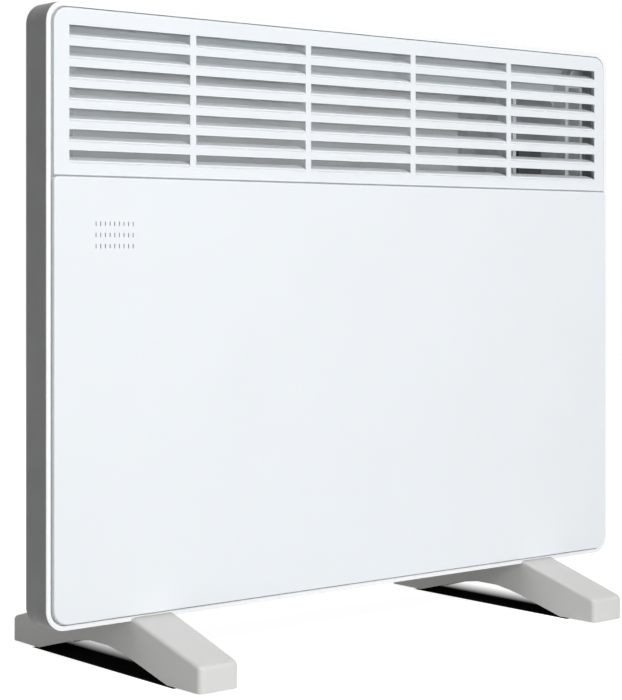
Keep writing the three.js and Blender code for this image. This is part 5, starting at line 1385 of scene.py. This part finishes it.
def drawn_metal(name, colour, roughness, stretch=(0.04, 1, 1)):
    finish, tree = new_finish(name, Metallic=0.95)
    lines = grain(tree, 900, 3, stretch)
    tarnish = spread(tree, grain(tree, 45, 4), 0, 1)
    feed(tree, tinted(tree, tarnish, shaded(colour, 0.86), colour), "Base Color")
    feed(tree, spread(tree, lines, roughness - 0.08, roughness + 0.1), "Roughness")
    feed(tree, lifted(tree, lines, 6e-6), "Normal")
    return finish


finish_of.update({
    "zinc_sheet": galvanised("galvanised_sheet", (0.78, 0.81, 0.83)),
    "cast_aluminium": drawn_metal("extruded_aluminium", (0.5, 0.52, 0.54), 0.45),
    "steel": drawn_metal("drawn_steel", (0.45, 0.46, 0.48), 0.34),
    "copper": drawn_metal("drawn_copper", (0.6, 0.3, 0.17), 0.3),
    "screw_zinc": drawn_metal("plated_screw", (0.5, 0.52, 0.54), 0.28, (1, 1, 1)),
})

# %% [markdown]
# ## Dressing
#
# Each piece already names the slot of the record that it takes its finish from. The table of
# finishes goes by these slots, and a loop hands them out.

# %% Dress every piece
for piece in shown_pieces():
    piece.data.materials.clear()
    piece.data.materials.append(finish_of[piece["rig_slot"]])

# %% [markdown]
# ## Floor, backdrop and light
#
# The heater was photographed on white. The world is white wherever the camera or a glossy ray looks
# at it, and gives only a plain soft light to everything else. The key lamp stands high in front,
# slightly to the left, and lights the face and the blades. A long low lamp on the camera's side
# shines level through the louvres into the casing, and a weaker one hangs overhead for the top edge.

# %% World
AMBIENT = 0.2


def sees_white(tree):
    """1 for the rays that should see plain white, and 0 for the rays that carry light."""
    ray = add_node(tree, "LightPath").outputs
    mirrored = maths(tree, "MAXIMUM", ray["Is Glossy Ray"], ray["Is Transmission Ray"])
    return maths(tree, "MAXIMUM", ray["Is Camera Ray"], mirrored)


world = bpy.data.worlds.new("white_studio")
world.use_nodes = True
bpy.context.scene.world = world
sky = world.node_tree
background = sky.nodes["Background"]
background.inputs["Color"].default_value = (1, 1, 1, 1)
sky.links.new(spread(sky, sees_white(sky), AMBIENT, 1.0, 0, 1), background.inputs["Strength"])


# %% Lamps
LAMP_TARGET = Vector((0, 0, 0.2))


def soft_lamp(name, place, size, power):
    """A lamp of a width and a height that looks from its place at the middle of the heater."""
    data = bpy.data.lights.new(name, "AREA")
    data.shape = "RECTANGLE"
    data.size, data.size_y = size
    data.energy = power
    lamp = bpy.data.objects.new(name, data)
    lamp.location = place
    lamp.rotation_euler = (LAMP_TARGET - Vector(place)).to_track_quat("-Z", "Y").to_euler()
    bpy.context.scene.collection.objects.link(lamp)


soft_lamp("key_lamp", (-0.5, -2.8, 1.65), (1.0, 1.0), 41)
soft_lamp("level_lamp", (-0.75, -2.7, 0.19), (1.6, 0.25), 24)
soft_lamp("top_lamp", (0, -0.5, 2.6), (1.6, 1.2), 15)

# %% [markdown]
# The floor is a pale matt plane. Where the camera looks at it, white is added to its shading, so that
# only a breath of the heater's shadow is left. The deep shadow under each arch is part of the floor's
# colour: it begins sharply at the foot's left side and fades out past its right side. The plane is
# clear from below, so that a camera under the floor sees the heater's underside.

# %% Floor
FLOOR_SHADE, FLOOR_WHITE, UNDER_FEET = (0.65, 0.65, 0.65), 0.86, (0.02, 0.02, 0.02)
SHADOW_EDGE, SHADOW_FROM, SHADOW_TO, SHADOW_REACH = 0.4 * MM, 26 * MM, 54 * MM, 84 * MM

clear_selection()
bpy.ops.mesh.primitive_plane_add(size=6, location=(0, 0, 0))
studio_floor = bpy.context.object
studio_floor.name = "studio_floor"
floor_finish, ground = new_finish("pale_floor", Roughness=0.9, Specular_IOR_Level=0.0,
                                  Emission_Color=(1, 1, 1, 1))
studio_floor.data.materials.append(floor_finish)


def under_foot(tree, along_x, along_y, middle):
    """1 in the deep shadow under the arch of the foot at a place on X, and 0 outside it."""
    left = middle - FOOT_WIDTH / 2
    begins = spread(tree, along_x, 0, 1, left - SHADOW_EDGE, left + SHADOW_EDGE)
    fades = spread(tree, along_x, 1, 0, left + SHADOW_FROM, left + SHADOW_TO)
    inside = maths(tree, "MULTIPLY", begins, fades)
    length = maths(tree, "ABSOLUTE", along_y)
    ends = spread(tree, length, 1, 0, SHADOW_REACH, SHADOW_REACH + MM)
    return maths(tree, "MULTIPLY", inside, ends)


axes = axes_of(ground)
shadows = [under_foot(ground, axes["X"], axes["Y"], x) for x in (foot_x, -foot_x)]
deep = maths(ground, "MAXIMUM", *shadows)
feed(ground, tinted(ground, deep, FLOOR_SHADE, UNDER_FEET), "Base Color")
open_floor = spread(ground, deep, FLOOR_WHITE, 0, 0, 1)
feed(ground, maths(ground, "MULTIPLY", open_floor, sees_white(ground)), "Emission Strength")
clear = add_node(ground, "BsdfTransparent")
side_seen = add_node(ground, "NewGeometry").outputs["Backfacing"]
either = add_node(ground, "MixShader")
ground.links.new(side_seen, either.inputs[0])
ground.links.new(ground.nodes["Principled BSDF"].outputs[0], either.inputs[1])
ground.links.new(clear.outputs[0], either.inputs[2])
ground.links.new(either.outputs[0], ground.nodes["Material Output"].inputs["Surface"])

# %% [markdown]
# ## Last measures
#
# The colours are shown through the plain Standard view transform, without a film curve.

# %% Plain colour view
bpy.context.scene.view_settings.view_transform = "Standard"
